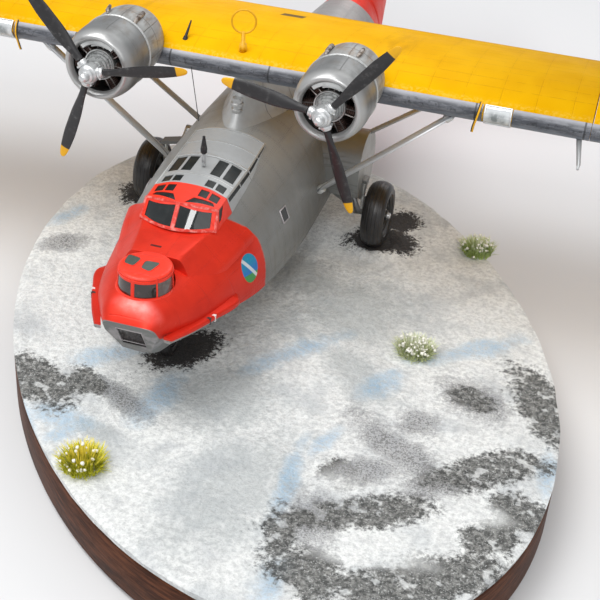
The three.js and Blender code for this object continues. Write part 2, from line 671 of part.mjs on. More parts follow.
function buildCanopy() {
  const front = toSolid(box(-20, 20, 20, canopy.split - GAP / 2, 30, 50));
  const rear = toSolid(box(-20, 20, canopy.split + GAP / 2, 90, 30, 50));
  addPart(aircraft, 'canopy_front_frame', toGeometry(canopyShell.intersect(front)), 'red');
  addPart(aircraft, 'canopy_rear_frame', toGeometry(canopyShell.intersect(rear)), 'silver');
  addPart(aircraft, 'cockpit_glazing', toGeometry(glazing), 'glass');
  const floor = 27 + GAP;
  const parts = [box(-7.6, 7.6, 38, 69.6, floor, floor + 0.8), box(-7.4, 7.4, 38, 39.2, floor, 35.2)];
  parts.push(box(-7.4, 7.4, 60, 61, floor, 37.6));
  for (const side of Object.values(SIDES)) {
    const [low, high] = [side * 2, side * 6.6].sort((a, b) => a - b);
    parts.push(box(low, high, 48, 53, floor, 31.2), box(low, high, 52.2, 53.4, floor, 37));
    parts.push(bar([side * 4.3, 42, floor], [side * 4.3, 42.6, 34.6], 0.5, 0.5, 8));
    parts.push(new THREE.TorusGeometry(1.6, 0.35, 6, 14).rotateX(Math.PI / 2 - 0.2)
      .translate(side * 4.3, 42.9, 34.4));
  }
  addPart(aircraft, 'cockpit_floor_and_seats', toGeometry(joined(...parts)), 'interior');
}

function buildBlisters() {
  for (const [name, side] of Object.entries(SIDES)) {
    const shell = blisterBall(side, 0).subtract(blisterBall(side, -blister.wall))
      .subtract(hullSkin(GAP));
    addPart(aircraft, `waist_blister_${name}`, toGeometry(shell), 'glass');
  }
}

function buildWing() {
  const clearWing = centreWing(GAP);
  addPart(aircraft, 'wing_centre', toGeometry(centreWing(0)), 'yellow');
  const pylon = pylonSolid().subtract(clearWing).subtract(hullSkin(GAP));
  addPart(aircraft, 'pylon', toGeometry(mainPiece(pylon)), 'silver');
  for (const [name, side] of Object.entries(SIDES)) {
    const panel = toSolid(loft(outerRings(side)));
    addPart(aircraft, `wing_outer_${name}`,
      toGeometry(panel.subtract(aileronZone(side, GAP))), 'yellow');
    addPart(aircraft, `aileron_${name}`,
      toGeometry(panel.intersect(aileronZone(side, 0))), 'yellow');
    addPart(aircraft, `wingtip_float_${name}`, wingtipFloat(side), 'silver');
    addPart(aircraft, `wing_strut_front_${name}`, toGeometry(toSolid(
      stay([side * 56.6, 80.4, 56], [side * 18.4, 87.7, 20.9], 2.6, 1.5))
      .subtract(clearWing).subtract(hullSkin(GAP))), 'silver');
    addPart(aircraft, `wing_strut_rear_${name}`, toGeometry(toSolid(
      stay([side * 58.4, 105.7, 54.8], [side * 18, 108.2, 24.9], 2.3, 1.3))
      .subtract(clearWing).subtract(hullSkin(GAP))), 'silver');
  }
}

function buildEngines() {
  const clearWing = centreWing(GAP);
  for (const [name, side] of Object.entries(SIDES)) {
    const body = toSolid(turned(nacelleProfile, 24).translate(side * prop.x, prop.y, prop.z));
    addPart(aircraft, `nacelle_${name}`, toGeometry(mainPiece(body.subtract(clearWing))), 'silver');
    const mount = new THREE.Group();
    mount.position.set(side * prop.x, prop.y, prop.z);
    addPart(mount, `cowl_${name}`, turned(cowlProfile, 28), 'silver');
    addPart(mount, `engine_${name}`, toGeometry(radialEngine()), 'engine');
    aircraft.add(mount);
  }
}

function buildPropellers() {
  // The first blade's direction from +X towards +Z, in degrees
  const firstBlade = { port: -9.8, starboard: 10.7 };
  const hubGeometry = toGeometry(propHub());
  for (const [name, side] of Object.entries(SIDES)) {
    const spinner = new THREE.Group();
    spinner.position.set(side * prop.x, prop.y, prop.z);
    const flip = side > 0 ? 180 : 0;
    spinner.rotation.y = THREE.MathUtils.degToRad(90 - firstBlade[name] - flip);
    addPart(spinner, `propeller_hub_${name}`, hubGeometry.clone(), 'bright');
    for (let i = 0; i < 3; i += 1) {
      addPart(spinner, `propeller_blade_${name}_${i + 1}`, blade(), 'blade')
        .rotation.y = (i / 3) * 2 * Math.PI;
    }
    aircraft.add(spinner);
  }
}

function buildGear() {
  for (const [name, side] of Object.entries(SIDES)) {
    addPart(aircraft, `main_gear_leg_${name}`, toGeometry(mainPiece(mainLeg(side))), 'bright');
    addWheel(aircraft, { tyre: `main_tyre_${name}`, hub: `main_wheel_hub_${name}` }, mainWheel,
      [side * mainWheel.x, mainWheel.y, mainAxleZ]);
  }
  addPart(aircraft, 'nose_gear_leg', toGeometry(noseLeg()), 'bright');
  addWheel(aircraft, { tyre: 'nose_tyre', hub: 'nose_wheel_hub' }, noseWheel,
    [0, noseWheel.y, noseAxleZ]);
}

function buildTail() {
  const fin = toSolid(uprightFoil(finStations));
  addPart(aircraft, 'tail_fin', toGeometry(mainPiece(fin.subtract(hullSkin(GAP)))), 'red');
  addPart(aircraft, 'rudder', uprightFoil(rudderStations), 'red');
  const gapped = finStations.map(([z, front, rear, thick]) => [z, front - 0.4, rear, thick + 0.8]);
  const clearFin = toSolid(uprightFoil(gapped));
  const rudderSweep = toSolid(box(-3.6, 3.6, 246, 275, 40, 90));
  for (const [name, side] of Object.entries(SIDES)) {
    const plane = toSolid(flatFoil(side, (row) => row[1], (row) => row[2]));
    const cut = toSolid(box(-1.2, 1.2, 220, 262, 50, 70));
    addPart(aircraft, `tailplane_${name}`,
      toGeometry(plane.subtract(clearFin).subtract(cut)), 'red');
    const elevator = toSolid(flatFoil(side, (row) => row[2] + 0.4, (row) => row[3]));
    addPart(aircraft, `elevator_${name}`, toGeometry(elevator.subtract(rudderSweep)), 'red');
  }
}

function buildAerials() {
  const ring = new THREE.TorusGeometry(3.1, 0.26, 6, 20).rotateX(Math.PI / 2).rotateZ(0.3)
    .translate(loop.x, loop.y, loop.z);
  const foot = joined(
    bar([loop.x, loop.y, 59], [loop.x, loop.y, loop.z - 2.8], 0.7, 0.5, 10),
    bar([loop.x, loop.y, 59], [loop.x, loop.y, 63.4], 1.5, 0.9, 12),
  );
  const antenna = foot.add(toSolid(ring)).subtract(centreWing(GAP));
  addPart(aircraft, 'loop_antenna', toGeometry(antenna), 'yellow');
  const mast = toSolid(bar([0, 52.9, 41], [0, 52.5, 50.3], 0.55, 0.35, 10));
  addPart(aircraft, 'roof_mast', toGeometry(mast.subtract(canopySkin(-GAP, canopyFoot))), 'blade');
  const pitot = joined(
    bar([86.4, 79.8, 57.5], [88.0, 78.6, 48.4], 0.75, 0.5, 10),
    bar([88.0, 79.6, 48.9], [88.0, 76.2, 48.6], 0.45, 0.35, 10),
  ).subtract(centreWing(GAP));
  addPart(aircraft, 'pitot_mast', toGeometry(pitot), 'silver');
}

buildPlinth();
buildHull();
buildCanopy();
buildBlisters();
buildWing();
buildEngines();
buildPropellers();
buildGear();
buildTail();
buildAerials();

export default model;
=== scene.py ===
"""Looks for the flying boat on its snow plinth: materials, small pieces, light and camera."""
import json
import math
import random

import bmesh
import bpy
from mathutils import Matrix, Vector, noise
from mathutils.bvhtree import BVHTree


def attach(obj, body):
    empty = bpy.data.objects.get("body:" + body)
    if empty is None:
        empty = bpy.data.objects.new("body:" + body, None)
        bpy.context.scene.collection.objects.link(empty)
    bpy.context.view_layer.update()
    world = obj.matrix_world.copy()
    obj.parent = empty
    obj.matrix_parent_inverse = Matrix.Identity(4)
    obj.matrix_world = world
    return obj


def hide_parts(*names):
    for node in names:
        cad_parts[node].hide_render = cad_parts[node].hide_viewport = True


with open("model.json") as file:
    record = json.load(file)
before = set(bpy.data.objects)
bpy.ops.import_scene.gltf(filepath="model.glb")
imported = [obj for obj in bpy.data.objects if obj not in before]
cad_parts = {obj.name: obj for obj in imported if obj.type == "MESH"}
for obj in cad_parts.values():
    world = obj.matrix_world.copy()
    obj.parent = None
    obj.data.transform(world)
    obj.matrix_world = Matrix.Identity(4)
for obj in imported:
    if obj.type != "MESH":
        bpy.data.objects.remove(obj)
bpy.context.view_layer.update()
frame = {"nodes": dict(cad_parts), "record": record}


# Sizes are aircraft millimetres: X to port, Y aft from the bow datum, Z up from the snow.

DATUM_Y = 57.0
SNOW_Z = 14.0
SIDES = {"port": 1, "starboard": -1}
PROP = {"x": 29.3, "y": 51.8, "z": 61.7}
COWL_REAR = PROP["y"] + 15.4
PLINTH = {"x": 20.0, "long": 107.6, "wide": 67.9, "turn": math.radians(-62.5), "snow": 1.8}
TURRET = {"y": 16.1, "roof_radius": 6.15, "well": 6.72, "floor": 26.5, "top": 34.6}
WHEEL = {"x": 34.8, "y": 104.6, "z": 9.9, "radius": 9.6, "width": 6.4}
NOSE_WHEEL = {"x": 0.0, "y": 31.0, "z": 5.7, "radius": 5.4, "width": 3.4}
BLISTER = {"x": 13.4, "y": 163.0, "z": 29.5, "long": 13.5, "high": 9.4, "bulge": 9.6}
WING = {"lead_y": 76.6, "lead_z": 58.2, "chord": 64.1, "slope": math.tan(math.radians(5.2))}


def at(x, y, z):
    """A point in the frame's metres."""
    return Vector((x / 1000, (y - DATUM_Y) / 1000, (z + SNOW_Z) / 1000))


def to_mm(point):
    """A point of the frame in aircraft millimetres."""
    return Vector((point.x * 1000, point.y * 1000 + DATUM_Y, point.z * 1000 - SNOW_Z))


# Camera, from the photograph's view

CAMERA_PLACE = (92.2, -202.8, 180.5)
CAMERA_AZIMUTH = math.radians(14.32)
CAMERA_ELEVATION = math.radians(32.95)
CAMERA_ROLL = math.radians(4.40)
FOCAL_PIXELS = 1230.1
PHOTO_WIDTH = 600


def make_camera():
    forward = Vector((
        -math.sin(CAMERA_AZIMUTH) * math.cos(CAMERA_ELEVATION),
        math.cos(CAMERA_AZIMUTH) * math.cos(CAMERA_ELEVATION),
        -math.sin(CAMERA_ELEVATION),
    ))
    level = forward.cross(Vector((0, 0, 1))).normalized()
    upright = level.cross(forward)
    right = math.cos(CAMERA_ROLL) * level + math.sin(CAMERA_ROLL) * upright
    up = -math.sin(CAMERA_ROLL) * level + math.cos(CAMERA_ROLL) * upright
    data = bpy.data.cameras.new("camera")
    data.sensor_width = 36
    data.lens = FOCAL_PIXELS / PHOTO_WIDTH * data.sensor_width
    data.clip_start = 0.01
    camera = bpy.data.objects.new("camera", data)
    axes = Matrix((right, up, -forward)).transposed().to_4x4()
    axes.translation = at(*CAMERA_PLACE)
    camera.matrix_world = axes
    bpy.context.scene.collection.objects.link(camera)
    bpy.context.scene.camera = camera


# Shader building

class Field:
    """A number that varies over a surface, with the usual sums."""

    def __init__(self, shader, socket):
        self.shader = shader
        self.socket = socket

    def math(self, operation, *others):
        return self.shader.math(operation, self, *others)

    def __add__(self, other):
        return self.math("ADD", other)

    def __radd__(self, other):
        return self.math("ADD", other)

    def __sub__(self, other):
        return self.math("SUBTRACT", other)

    def __rsub__(self, other):
        return self.shader.math("SUBTRACT", other, self)

    def __mul__(self, other):
        return self.math("MULTIPLY", other)

    def __rmul__(self, other):
        return self.math("MULTIPLY", other)

    def __truediv__(self, other):
        return self.math("DIVIDE", other)

    def size(self):
        return self.math("ABSOLUTE")

    def either(self, other):
        return self.math("MAXIMUM", other)

    def ramp(self, start, end, low=0.0, high=1.0):
        """From low at start to high at end, and level past both."""
        return self.shader.ramp(self, start, end, low, high)

    def near_multiple(self, spacing):
        """The distance to the nearest multiple of a spacing."""
        return self.math("PINGPONG", spacing / 2)


class Shader:
    """One procedural material. Its fields x, y and z are aircraft millimetres."""

    def __init__(self, name, **sockets):
        self.material = bpy.data.materials.new(name)
        self.material.use_nodes = True
        self.nodes = self.material.node_tree.nodes
        self.links = self.material.node_tree.links
        self.surface = self.nodes["Principled BSDF"]
        for label, value in sockets.items():
            self.surface.inputs[label.replace("_", " ")].default_value = value
        coords = self.nodes.new("ShaderNodeTexCoord").outputs["Object"]
        scaled = self.nodes.new("ShaderNodeVectorMath")
        scaled.operation = "MULTIPLY_ADD"
        self.links.new(coords, scaled.inputs[0])
        scaled.inputs[1].default_value = (1000, 1000, 1000)
        scaled.inputs[2].default_value = (0, DATUM_Y, -SNOW_Z)
        self.place = scaled.outputs[0]
        split = self.nodes.new("ShaderNodeSeparateXYZ")
        self.links.new(self.place, split.inputs[0])
        self.x, self.y, self.z = (Field(self, socket) for socket in split.outputs)

    def feed(self, socket, value):
        if isinstance(value, Field):
            value = value.socket
        if isinstance(value, bpy.types.NodeSocket):
            self.links.new(value, socket)
        elif isinstance(value, tuple) and len(value) == 3 and len(socket.default_value) == 4:
            socket.default_value = (*value, 1)
        else:
            socket.default_value = value

    def math(self, operation, *values):
        node = self.nodes.new("ShaderNodeMath")
        node.operation = operation
        for socket, value in zip(node.inputs, values):
            self.feed(socket, value)
        return Field(self, node.outputs[0])

    def ramp(self, value, start, end, low=0.0, high=1.0):
        node = self.nodes.new("ShaderNodeMapRange")
        node.interpolation_type = "SMOOTHSTEP"
        for socket, item in zip(node.inputs, (value, start, end, low, high)):
            self.feed(socket, item)
        return Field(self, node.outputs[0])

    def stretched(self, scale):
        """The place with its axes scaled, for noise that is longer one way."""
        node = self.nodes.new("ShaderNodeVectorMath")
        node.operation = "MULTIPLY"
        self.feed(node.inputs[0], self.place)
        node.inputs[1].default_value = scale
        return node.outputs[0]

    def noise(self, size, detail=4.0, roughness=0.6, place=None):
        """Cloudy noise from 0 to 1 whose blotches are about `size` mm across."""
        node = self.nodes.new("ShaderNodeTexNoise")
        self.feed(node.inputs["Vector"], place or self.place)
        node.inputs["Scale"].default_value = 1 / size
        node.inputs["Detail"].default_value = detail
        node.inputs["Roughness"].default_value = roughness
        return Field(self, node.outputs[0])

    def cells(self, size, place=None):
        """Distance to the middle of the nearest of many cells about `size` mm across."""
        node = self.nodes.new("ShaderNodeTexVoronoi")
        self.feed(node.inputs["Vector"], place or self.place)
        node.inputs["Scale"].default_value = 1 / size
        return Field(self, node.outputs["Distance"])

    def mix(self, first, second, share):
        node = self.nodes.new("ShaderNodeMix")
        node.data_type = "RGBA"
        self.feed(node.inputs["Factor"], share)
        self.feed(node.inputs[6], first)
        self.feed(node.inputs[7], second)
        return node.outputs[2]

    def layers(self, colour, *layers):
        """A colour under layers of (colour, share)."""
        for layer, share in layers:
            colour = self.mix(colour, layer, share)
        return colour

    def polar(self, x, z):
        """The distance in mm from an axis that runs aft, and the angle round it from straight up."""
        u, v = self.x - x, self.z - z
        return self.math("SQRT", u * u + v * v), self.math("ARCTAN2", u, v)

    def blob(self, x, y, long, wide, turn=0.0):
        """0 in the middle of an oval patch on the ground and 1 on its edge."""
        across = self.x - x
        along = self.y - y
        c, s = math.cos(math.radians(turn)), math.sin(math.radians(turn))
        u = (across * c + along * s) / long
        v = (along * c - across * s) / wide
        return self.math("SQRT", u * u + v * v)

    def colour(self, value):
        self.feed(self.surface.inputs["Base Color"], value)

    def roughness(self, value):
        self.feed(self.surface.inputs["Roughness"], value)

    def bump(self, height):
        """Raises the surface by a height in mm."""
        node = self.nodes.new("ShaderNodeBump")
        node.inputs["Distance"].default_value = 0.001
        self.feed(node.inputs["Height"], height)
        self.links.new(node.outputs[0], self.surface.inputs["Normal"])


# Paints

SILVER = (0.35, 0.355, 0.345)
SILVER_DARK = (0.215, 0.213, 0.205)
RED = (0.80, 0.036, 0.013)
RED_DARK = (0.47, 0.013, 0.007)
YELLOW = (0.76, 0.39, 0.001)
YELLOW_DARK = (0.62, 0.29, 0.003)
STAIN = (0.115, 0.085, 0.06)


def line_mask(distance, width):
    """1 on a line of a width in mm and 0 beside it."""
    return distance.ramp(width * 0.45, width * 1.1, 1.0, 0.0)


def weathered(shader, base, dark, lines, rivets=None, blotch=9.0, wear=0.5):
    """Paint with soft blotches, thin dark panel lines and fine rivet rows."""
    cloud = shader.noise(blotch, 5.0).ramp(0.35, 0.72)
    fine = shader.noise(1.1, 3.0)
    colour = shader.mix(base, dark, cloud * wear * 0.55 + (fine - 0.5) * 0.22 * wear)
    near = lines.ramp(0.0, 1.0) * 0.62
    colour = shader.mix(colour, tuple(0.35 * c for c in dark), near)
    height = lines * -0.05 + fine * 0.006
    if rivets is not None:
        colour = shader.mix(colour, tuple(0.6 * c for c in dark), rivets * 0.35)
        height = height + rivets * 0.02
    shader.bump(height)
    shader.roughness(0.34 + cloud * 0.16 + fine * 0.08)
    return colour


def girth(shader):
    """Distance round the hull in mm, from an angle about its middle."""
    middle_z, radius = 25.0, 20.0
    return shader.math("ARCTAN2", shader.z - middle_z, shader.x.size()) * radius


def rivet_rows(across, along, spacing, offset, pitch):
    """Dots along both sides of each line of a family."""
    row = (across.near_multiple(spacing) - offset).size()
    dots = along.near_multiple(pitch)
    return row.ramp(0.08, 0.2, 1.0, 0.0) * dots.ramp(0.1, 0.22, 1.0, 0.0)


# Distances in mm between the hull's frames, its stringers and the wing's ribs
HULL_FRAMES = 9.3
HULL_STRINGERS = 8.2
WING_RIBS = 8.85


def hull_silver(shader, lines, rivets):
    """The hull's silver: painted shade darkening its sides below the deck, grimy and dusty towards the keel,
    and a painted highlight on the bow's face.
    """
    y, z = shader.y, shader.z
    # Painted shade: the sides below the deck are darkened, forward of the wing's rear part.
    painted_side_shade = z.ramp(41.5, 31.0) * y.ramp(112.0, 84.0)
    streaks = shader.noise(2.2, 3.0, place=shader.stretched((1.0, 1.0, 0.16)))
    dust = shader.noise(3.0, 4.0).ramp(0.4, 0.75) * z.ramp(24.0, 8.0)
    # Painted highlight: a pale patch on the bow's face.
    bow_face_highlight = z.ramp(24.0, 22.0) * y.ramp(12.0, 9.0)
    return shader.layers(
        weathered(shader, SILVER, SILVER_DARK, lines, rivets),
        ((0.155, 0.157, 0.148), painted_side_shade * 0.62),
        (STAIN, streaks.ramp(0.5, 0.78) * z.ramp(42.0, 20.0) * 0.28),
        ((0.30, 0.28, 0.25), dust * 0.45),
        ((0.46, 0.42, 0.43), shader.noise(2.2, 4.0).ramp(0.4, 0.66) * bow_face_highlight * 0.7),
    )


def hull_red(shader, lines, rivets):
    """The hull's red: darker below as painted shade, rubbed paler in spots, with a painted highlight on top
    of the bow.
    """
    cloud = shader.noise(7.0, 4.0).ramp(0.35, 0.75)
    # A painted highlight: a pale pink patch on top of the bow.
    red_bow_highlight = shader.blob(1.4, 8.3, 6.6, 2.4, -6.0).ramp(1.2, 0.0)
    red_bow_highlight = red_bow_highlight * (shader.noise(2.4, 3.0).ramp(0.3, 0.7) * 0.5 + 0.5)
    # Painted shade darkens the red towards the bottom.
    return shader.layers(
        RED,
        (RED_DARK, cloud * 0.3 + lines * 0.35 + rivets * 0.18),
        (RED_DARK, shader.z.ramp(30.0, 20.0) * 0.4),
        ((0.86, 0.16, 0.10), shader.noise(2.0, 5.0).ramp(0.62, 0.8) * 0.25),
        ((0.92, 0.52, 0.50), red_bow_highlight * shader.z.ramp(24.5, 26.5) * 0.42),
    )


def hull_paint():
    """Silver planking, red at the bow and the tail."""
    shader = Shader("hull_paint", Metallic=0.5, Specular_IOR_Level=0.4)
    x, y, z = shader.x, shader.y, shader.z
    round_hull = girth(shader)
    frames = line_mask((y - 3.0).near_multiple(HULL_FRAMES), 0.16) * y.ramp(11.0, 13.0)
    stringers = line_mask((round_hull - 1.5).near_multiple(HULL_STRINGERS), 0.14) * y.ramp(15.0, 19.0)
    bow_seams = line_mask((y - 7.4).near_multiple(1.5), 0.12) * y.ramp(8.6, 8.2) * x.size().ramp(4.8, 4.4)
    bow_seams = bow_seams * y.ramp(5.6, 6.0) * z.ramp(25.6, 26.2)
    lines = frames.either(stringers).either(bow_seams)
    rivets = rivet_rows(y - 3.0, round_hull, HULL_FRAMES, 0.55, 0.95)
    rivets = rivets.either(rivet_rows(round_hull - 1.5, y, HULL_STRINGERS, 0.5, 0.95)) * y.ramp(14.0, 18.0)
    faded = shader.noise(5.0, 3.0).ramp(0.4, 0.62)
    silver = hull_silver(shader, lines * (0.25 + 0.3 * faded), rivets)
    red = hull_red(shader, lines * faded, rivets)
    # The red ends on a curve that swings aft below the canopy.
    edge = z.ramp(39.5, 27.5, 39.8, 47.0) + z.ramp(24.0, 15.0) * -1.2
    chin = y.ramp(4.6, 8.6, 25.3, 20.9) + y.ramp(20.0, 46.0) * -6.2
    front = (edge - y).ramp(-0.12, 0.12) * (z - chin).ramp(-0.12, 0.12)
    # The tail is red behind a line that leans aft towards the keel.
    tail = (y - z.ramp(44.0, 24.0, 186.0, 195.0)).ramp(-0.12, 0.12)
    worn = (edge - y).size().ramp(0.55, 0.1) * shader.noise(0.9, 4.0).ramp(0.42, 0.6)
    slot = (x + 1.0).size().ramp(1.4, 1.25) * (y - 24.6).size().ramp(0.4, 0.3) * z.ramp(33.0, 34.0)
    shader.colour(emblem(shader, shader.layers(
        silver,
        (red, front.either(tail)),
        ((0.36, 0.22, 0.19), worn * (z - chin).ramp(0.0, 0.5) * 0.6),
        ((0.05, 0.02, 0.018), slot * 0.9),
    )))
    return shader.material


EMBLEM = {"y": 39.8, "z": 24.2, "radius": 3.5}


def emblem(shader, colour):
    """A plain round badge: sky over a green field, with a slanting pale band."""
    across = (shader.y - EMBLEM["y"]) / EMBLEM["radius"]
    up = (shader.z - EMBLEM["z"]) / EMBLEM["radius"]
    radius = shader.math("SQRT", across * across + up * up)
    outside_hull = shader.x.size().ramp(8.0, 9.0)
    sky = shader.mix((0.03, 0.20, 0.55), (0.02, 0.30, 0.48), up.ramp(-0.3, 0.6))
    field = (0.07, 0.33, 0.10)
    badge = shader.mix(field, sky, (up + across * 0.15).ramp(-0.42, -0.34))
    band = (across * 0.8 + up * 0.6).size()
    badge = shader.mix(badge, (0.75, 0.78, 0.80), band.ramp(0.1, 0.16, 1.0, 0.0) * 0.9)
    return shader.mix(colour, badge, radius.ramp(0.96, 1.02, 1.0, 0.0) * outside_hull)


def rail_mark_paint():
    """Dark spots and a pale stripe on the spray rails' brackets."""
    shader = Shader("rail_mark_paint", Metallic=0.2, Roughness=0.5)
    stripe = (shader.y - 19.6).ramp(-0.1, 0.1)
    shader.colour(shader.layers(
        (0.02, 0.018, 0.018), ((0.08, 0.05, 0.05), shader.noise(0.8, 3.0)), ((0.72, 0.66, 0.64), stripe)))
    return shader.material


def plain_silver(name, wear=0.5, tint=SILVER):
    """Silver with a few panel lines across the aircraft."""
    shader = Shader(name, Metallic=0.3)
    lines = line_mask((shader.y - 2.0).near_multiple(14.0), 0.18)
    shader.colour(weathered(shader, tint, SILVER_DARK, lines, None, 6.0, wear))
    return shader.material


def nacelle_paint(name):
    """Silver with exhaust stains behind the cowl."""
    shader = Shader(f"nacelle_paint_{name}", Metallic=0.3)
    _, turn = shader.polar(SIDES[name] * PROP["x"], PROP["z"])
    panel = line_mask((turn * 9.2 - 1.0).near_multiple(7.2), 0.16)
    ring = line_mask((shader.y - COWL_REAR - 5.5).size(), 0.2)
    trail = shader.noise(1.6, 4.0, place=shader.stretched((1.0, 0.22, 1.0)))
    rust = shader.noise(2.8, 3.0, place=shader.stretched((1.0, 0.35, 1.0))).ramp(0.52, 0.72)
    behind = shader.y.ramp(COWL_REAR - 0.4, COWL_REAR + 4.0)
    shader.colour(shader.layers(
        weathered(shader, SILVER, SILVER_DARK, panel.either(ring), None, 5.0, 0.7),
        (STAIN, trail.ramp(0.42, 0.68) * behind * 0.6),
        ((0.27, 0.16, 0.075), rust * behind * 0.5),
    ))
    return shader.material


def cowl_paint(name):
    """Silver with a bright lip, an inside darkened with painted shade, and brown stains to the rear."""
    shader = Shader(f"cowl_paint_{name}", Metallic=0.6)
    radius, turn = shader.polar(SIDES[name] * PROP["x"], PROP["z"])
    aft = shader.y - PROP["y"]
    panel = line_mask((turn * 9.3 - 1.5).near_multiple(19.5), 0.14)
    seam = line_mask((aft - 8.6).size(), 0.12)
    lines = panel.either(seam * 0.5) * aft.ramp(6.0, 7.0)
    spots = shader.noise(4.0, 5.0)
    lip = aft.ramp(7.0, 4.0)
    # Painted shade: the cowl's inside is darkened nearly to black.
    inside = radius.ramp(8.3, 7.6) * aft.ramp(4.4, 5.4)
    stain = shader.noise(2.4, 4.0, place=shader.stretched((1.0, 0.3, 1.0))).ramp(0.5, 0.7)
    shader.colour(shader.layers(
        (0.235, 0.24, 0.237),
        ((0.16, 0.157, 0.148), spots.ramp(0.4, 0.72) * 0.7),
        ((0.50, 0.50, 0.49), lip * 0.8),
        ((0.08, 0.075, 0.07), lines * 0.5),
        ((0.03, 0.024, 0.02), inside * 0.92),
        ((0.24, 0.17, 0.115), stain * aft.ramp(8.0, 15.0) * 0.5),
    ))
    shader.roughness(0.36 - lip * 0.08 + spots * 0.12 + stain * 0.1)
    shader.bump(lines * -0.04 + spots * 0.006)
    return shader.material


# Places of the wing's seams in mm aft of the bow datum
WING_SEAMS = (95.0, 84.6, 89.6, 99.5, 104.0, 108.6, 113.4, 118.0, 122.5, 127.0, 131.0)


def over_chord(shader):
    """Height in mm above the wing's chord line."""
    return shader.z - (WING["lead_z"] - (shader.y - WING["lead_y"]) * WING["slope"])


def wing_paint():
    """Chrome yellow with fine panel lines and exhaust trails."""
    shader = Shader("wing_paint", Metallic=0.0, Specular_IOR_Level=0.02)
    x, y = shader.x, shader.y
    above = over_chord(shader)
    seams = line_mask((x - 4.4).near_multiple(WING_RIBS), 0.12) * 0.7
    for place in WING_SEAMS:
        seams = seams.either(line_mask((y - place).size(), 0.13))
    lines = seams * shader.noise(2.6, 2.0).ramp(0.36, 0.52)
    rivets = rivet_rows(x - 4.4, y, WING_RIBS, 0.5, 1.0)
    cloud = shader.noise(14.0, 5.0).ramp(0.35, 0.7)
    patches = shader.cells(9.0, place=shader.stretched((1.0, 0.7, 0.0))).ramp(0.3, 0.9)
    streak = shader.noise(2.6, 4.0, place=shader.stretched((1.0, 0.16, 1.0)))
    colour = shader.layers(
        YELLOW,
        (YELLOW_DARK, cloud * 0.24),
        ((0.88, 0.50, 0.003), patches * 0.35),
        ((0.56, 0.26, 0.005), streak.ramp(0.56, 0.8) * 0.2),
        ((0.46, 0.19, 0.004), lines * 0.45 + rivets * 0.1),
    )
    for side in SIDES.values():
        beside = (x - side * 36.0).size().ramp(7.0, 0.5)
        trail = beside * y.ramp(84.0, 90.0) * y.ramp(139.0, 100.0) * streak.ramp(0.3, 0.7)
        colour = shader.mix(colour, (0.42, 0.19, 0.01), trail * 0.45)
    hatch = (x - 1.4).size().ramp(3.4, 3.2) * (y - 120.6).size().ramp(2.6, 2.4) * above.ramp(0.0, 0.5)
    nose = (above.ramp(-0.2, 0.6, 80.4, 79.9) - y).ramp(-0.6, 1.0)
    shader.colour(shader.layers(
        colour,
        ((0.05, 0.048, 0.045), hatch * 0.85),
        ((0.88, 0.60, 0.10), nose * shader.noise(0.8, 4.0).ramp(0.44, 0.6) * 0.35),
    ))
    shader.roughness(0.48 + cloud * 0.1)
    shader.bump(lines * -0.04 + shader.noise(1.0, 3.0) * 0.008)
    return shader.material


def boot_rubber():
    """Blue-grey rubber with a painted highlight along its upper edge, rubbed dark in spots along the nose."""
    shader = Shader("boot_rubber", Metallic=0.1, Specular_IOR_Level=0.5)
    streak = shader.noise(1.3, 6.0, 0.7, place=shader.stretched((0.22, 1.3, 1.3)))
    spots = shader.noise(1.0, 5.0, 0.75)
    rise = over_chord(shader)
    middle = rise.size().ramp(1.6, 0.3)
    seam = line_mask((shader.x - 8.0).near_multiple(26.6), 0.3)
    # The pale layer along the upper edge is a painted highlight.
    shader.colour(shader.layers(
        (0.06, 0.064, 0.075),
        ((0.15, 0.156, 0.172), streak.ramp(0.42, 0.62)),
        ((0.36, 0.362, 0.385), rise.ramp(0.9, 2.1) * 0.75),
        ((0.22, 0.25, 0.30), rise.ramp(-0.6, -2.2) * 0.6),
        ((0.014, 0.014, 0.016), spots.ramp(0.52, 0.64) * middle * 0.7),
        ((0.62, 0.64, 0.66), shader.noise(0.8, 4.0, 0.7).ramp(0.66, 0.76) * 0.35),
        ((0.012, 0.012, 0.014), seam * 0.8),
    ))
    shader.roughness(0.3 + spots * 0.25)
    shader.bump(streak * 0.05 + spots * 0.03)
    return shader.material


def lamp_glass(name):
    """A clear cover over a pale reflector that darkens towards its middle."""
    shader = Shader(f"lamp_glass_{name}", Metallic=0.3, Roughness=0.1, Coat_Weight=0.6)
    across = (shader.x.size() - sum(LAMP) / 2).size()
    rise = (shader.z - WING["lead_z"] + 0.6).size()
    middle = across.ramp(2.6, 1.2) * rise.ramp(1.9, 0.6)
    ripple = shader.noise(1.4, 3.0, place=shader.stretched((1.0, 0.5, 0.5)))
    reflector = shader.mix((0.24, 0.26, 0.26), (0.5, 0.52, 0.52), ripple.ramp(0.4, 0.62))
    shader.colour(shader.mix((0.66, 0.68, 0.68), reflector, middle))
    shader.bump(ripple * 0.05)
    return shader.material


def red_paint(name, ribbed=False):
    """Red with faint lines: ribs and rows on the tail's fabric, else frames along the aircraft."""
    shader = Shader(name, Metallic=0.0, Specular_IOR_Level=0.4)
    if ribbed:
        lines = line_mask((shader.x - 3.0).near_multiple(6.0), 0.2)
        lines = lines.either(line_mask((shader.z - 4.0).near_multiple(6.5), 0.2))
    else:
        lines = line_mask((shader.y - 4.0).near_multiple(8.0), 0.16)
    cloud = shader.noise(6.0, 4.0).ramp(0.35, 0.75)
    fine = shader.noise(0.9, 3.0)
    shader.colour(shader.layers(
        RED, (RED_DARK, cloud * 0.3 + lines * 0.4), ((0.86, 0.17, 0.12), fine.ramp(0.6, 0.8) * 0.3)))
    shader.roughness(0.36 + cloud * 0.14)
    shader.bump(lines * -0.04 + fine * 0.006)
    return shader.material


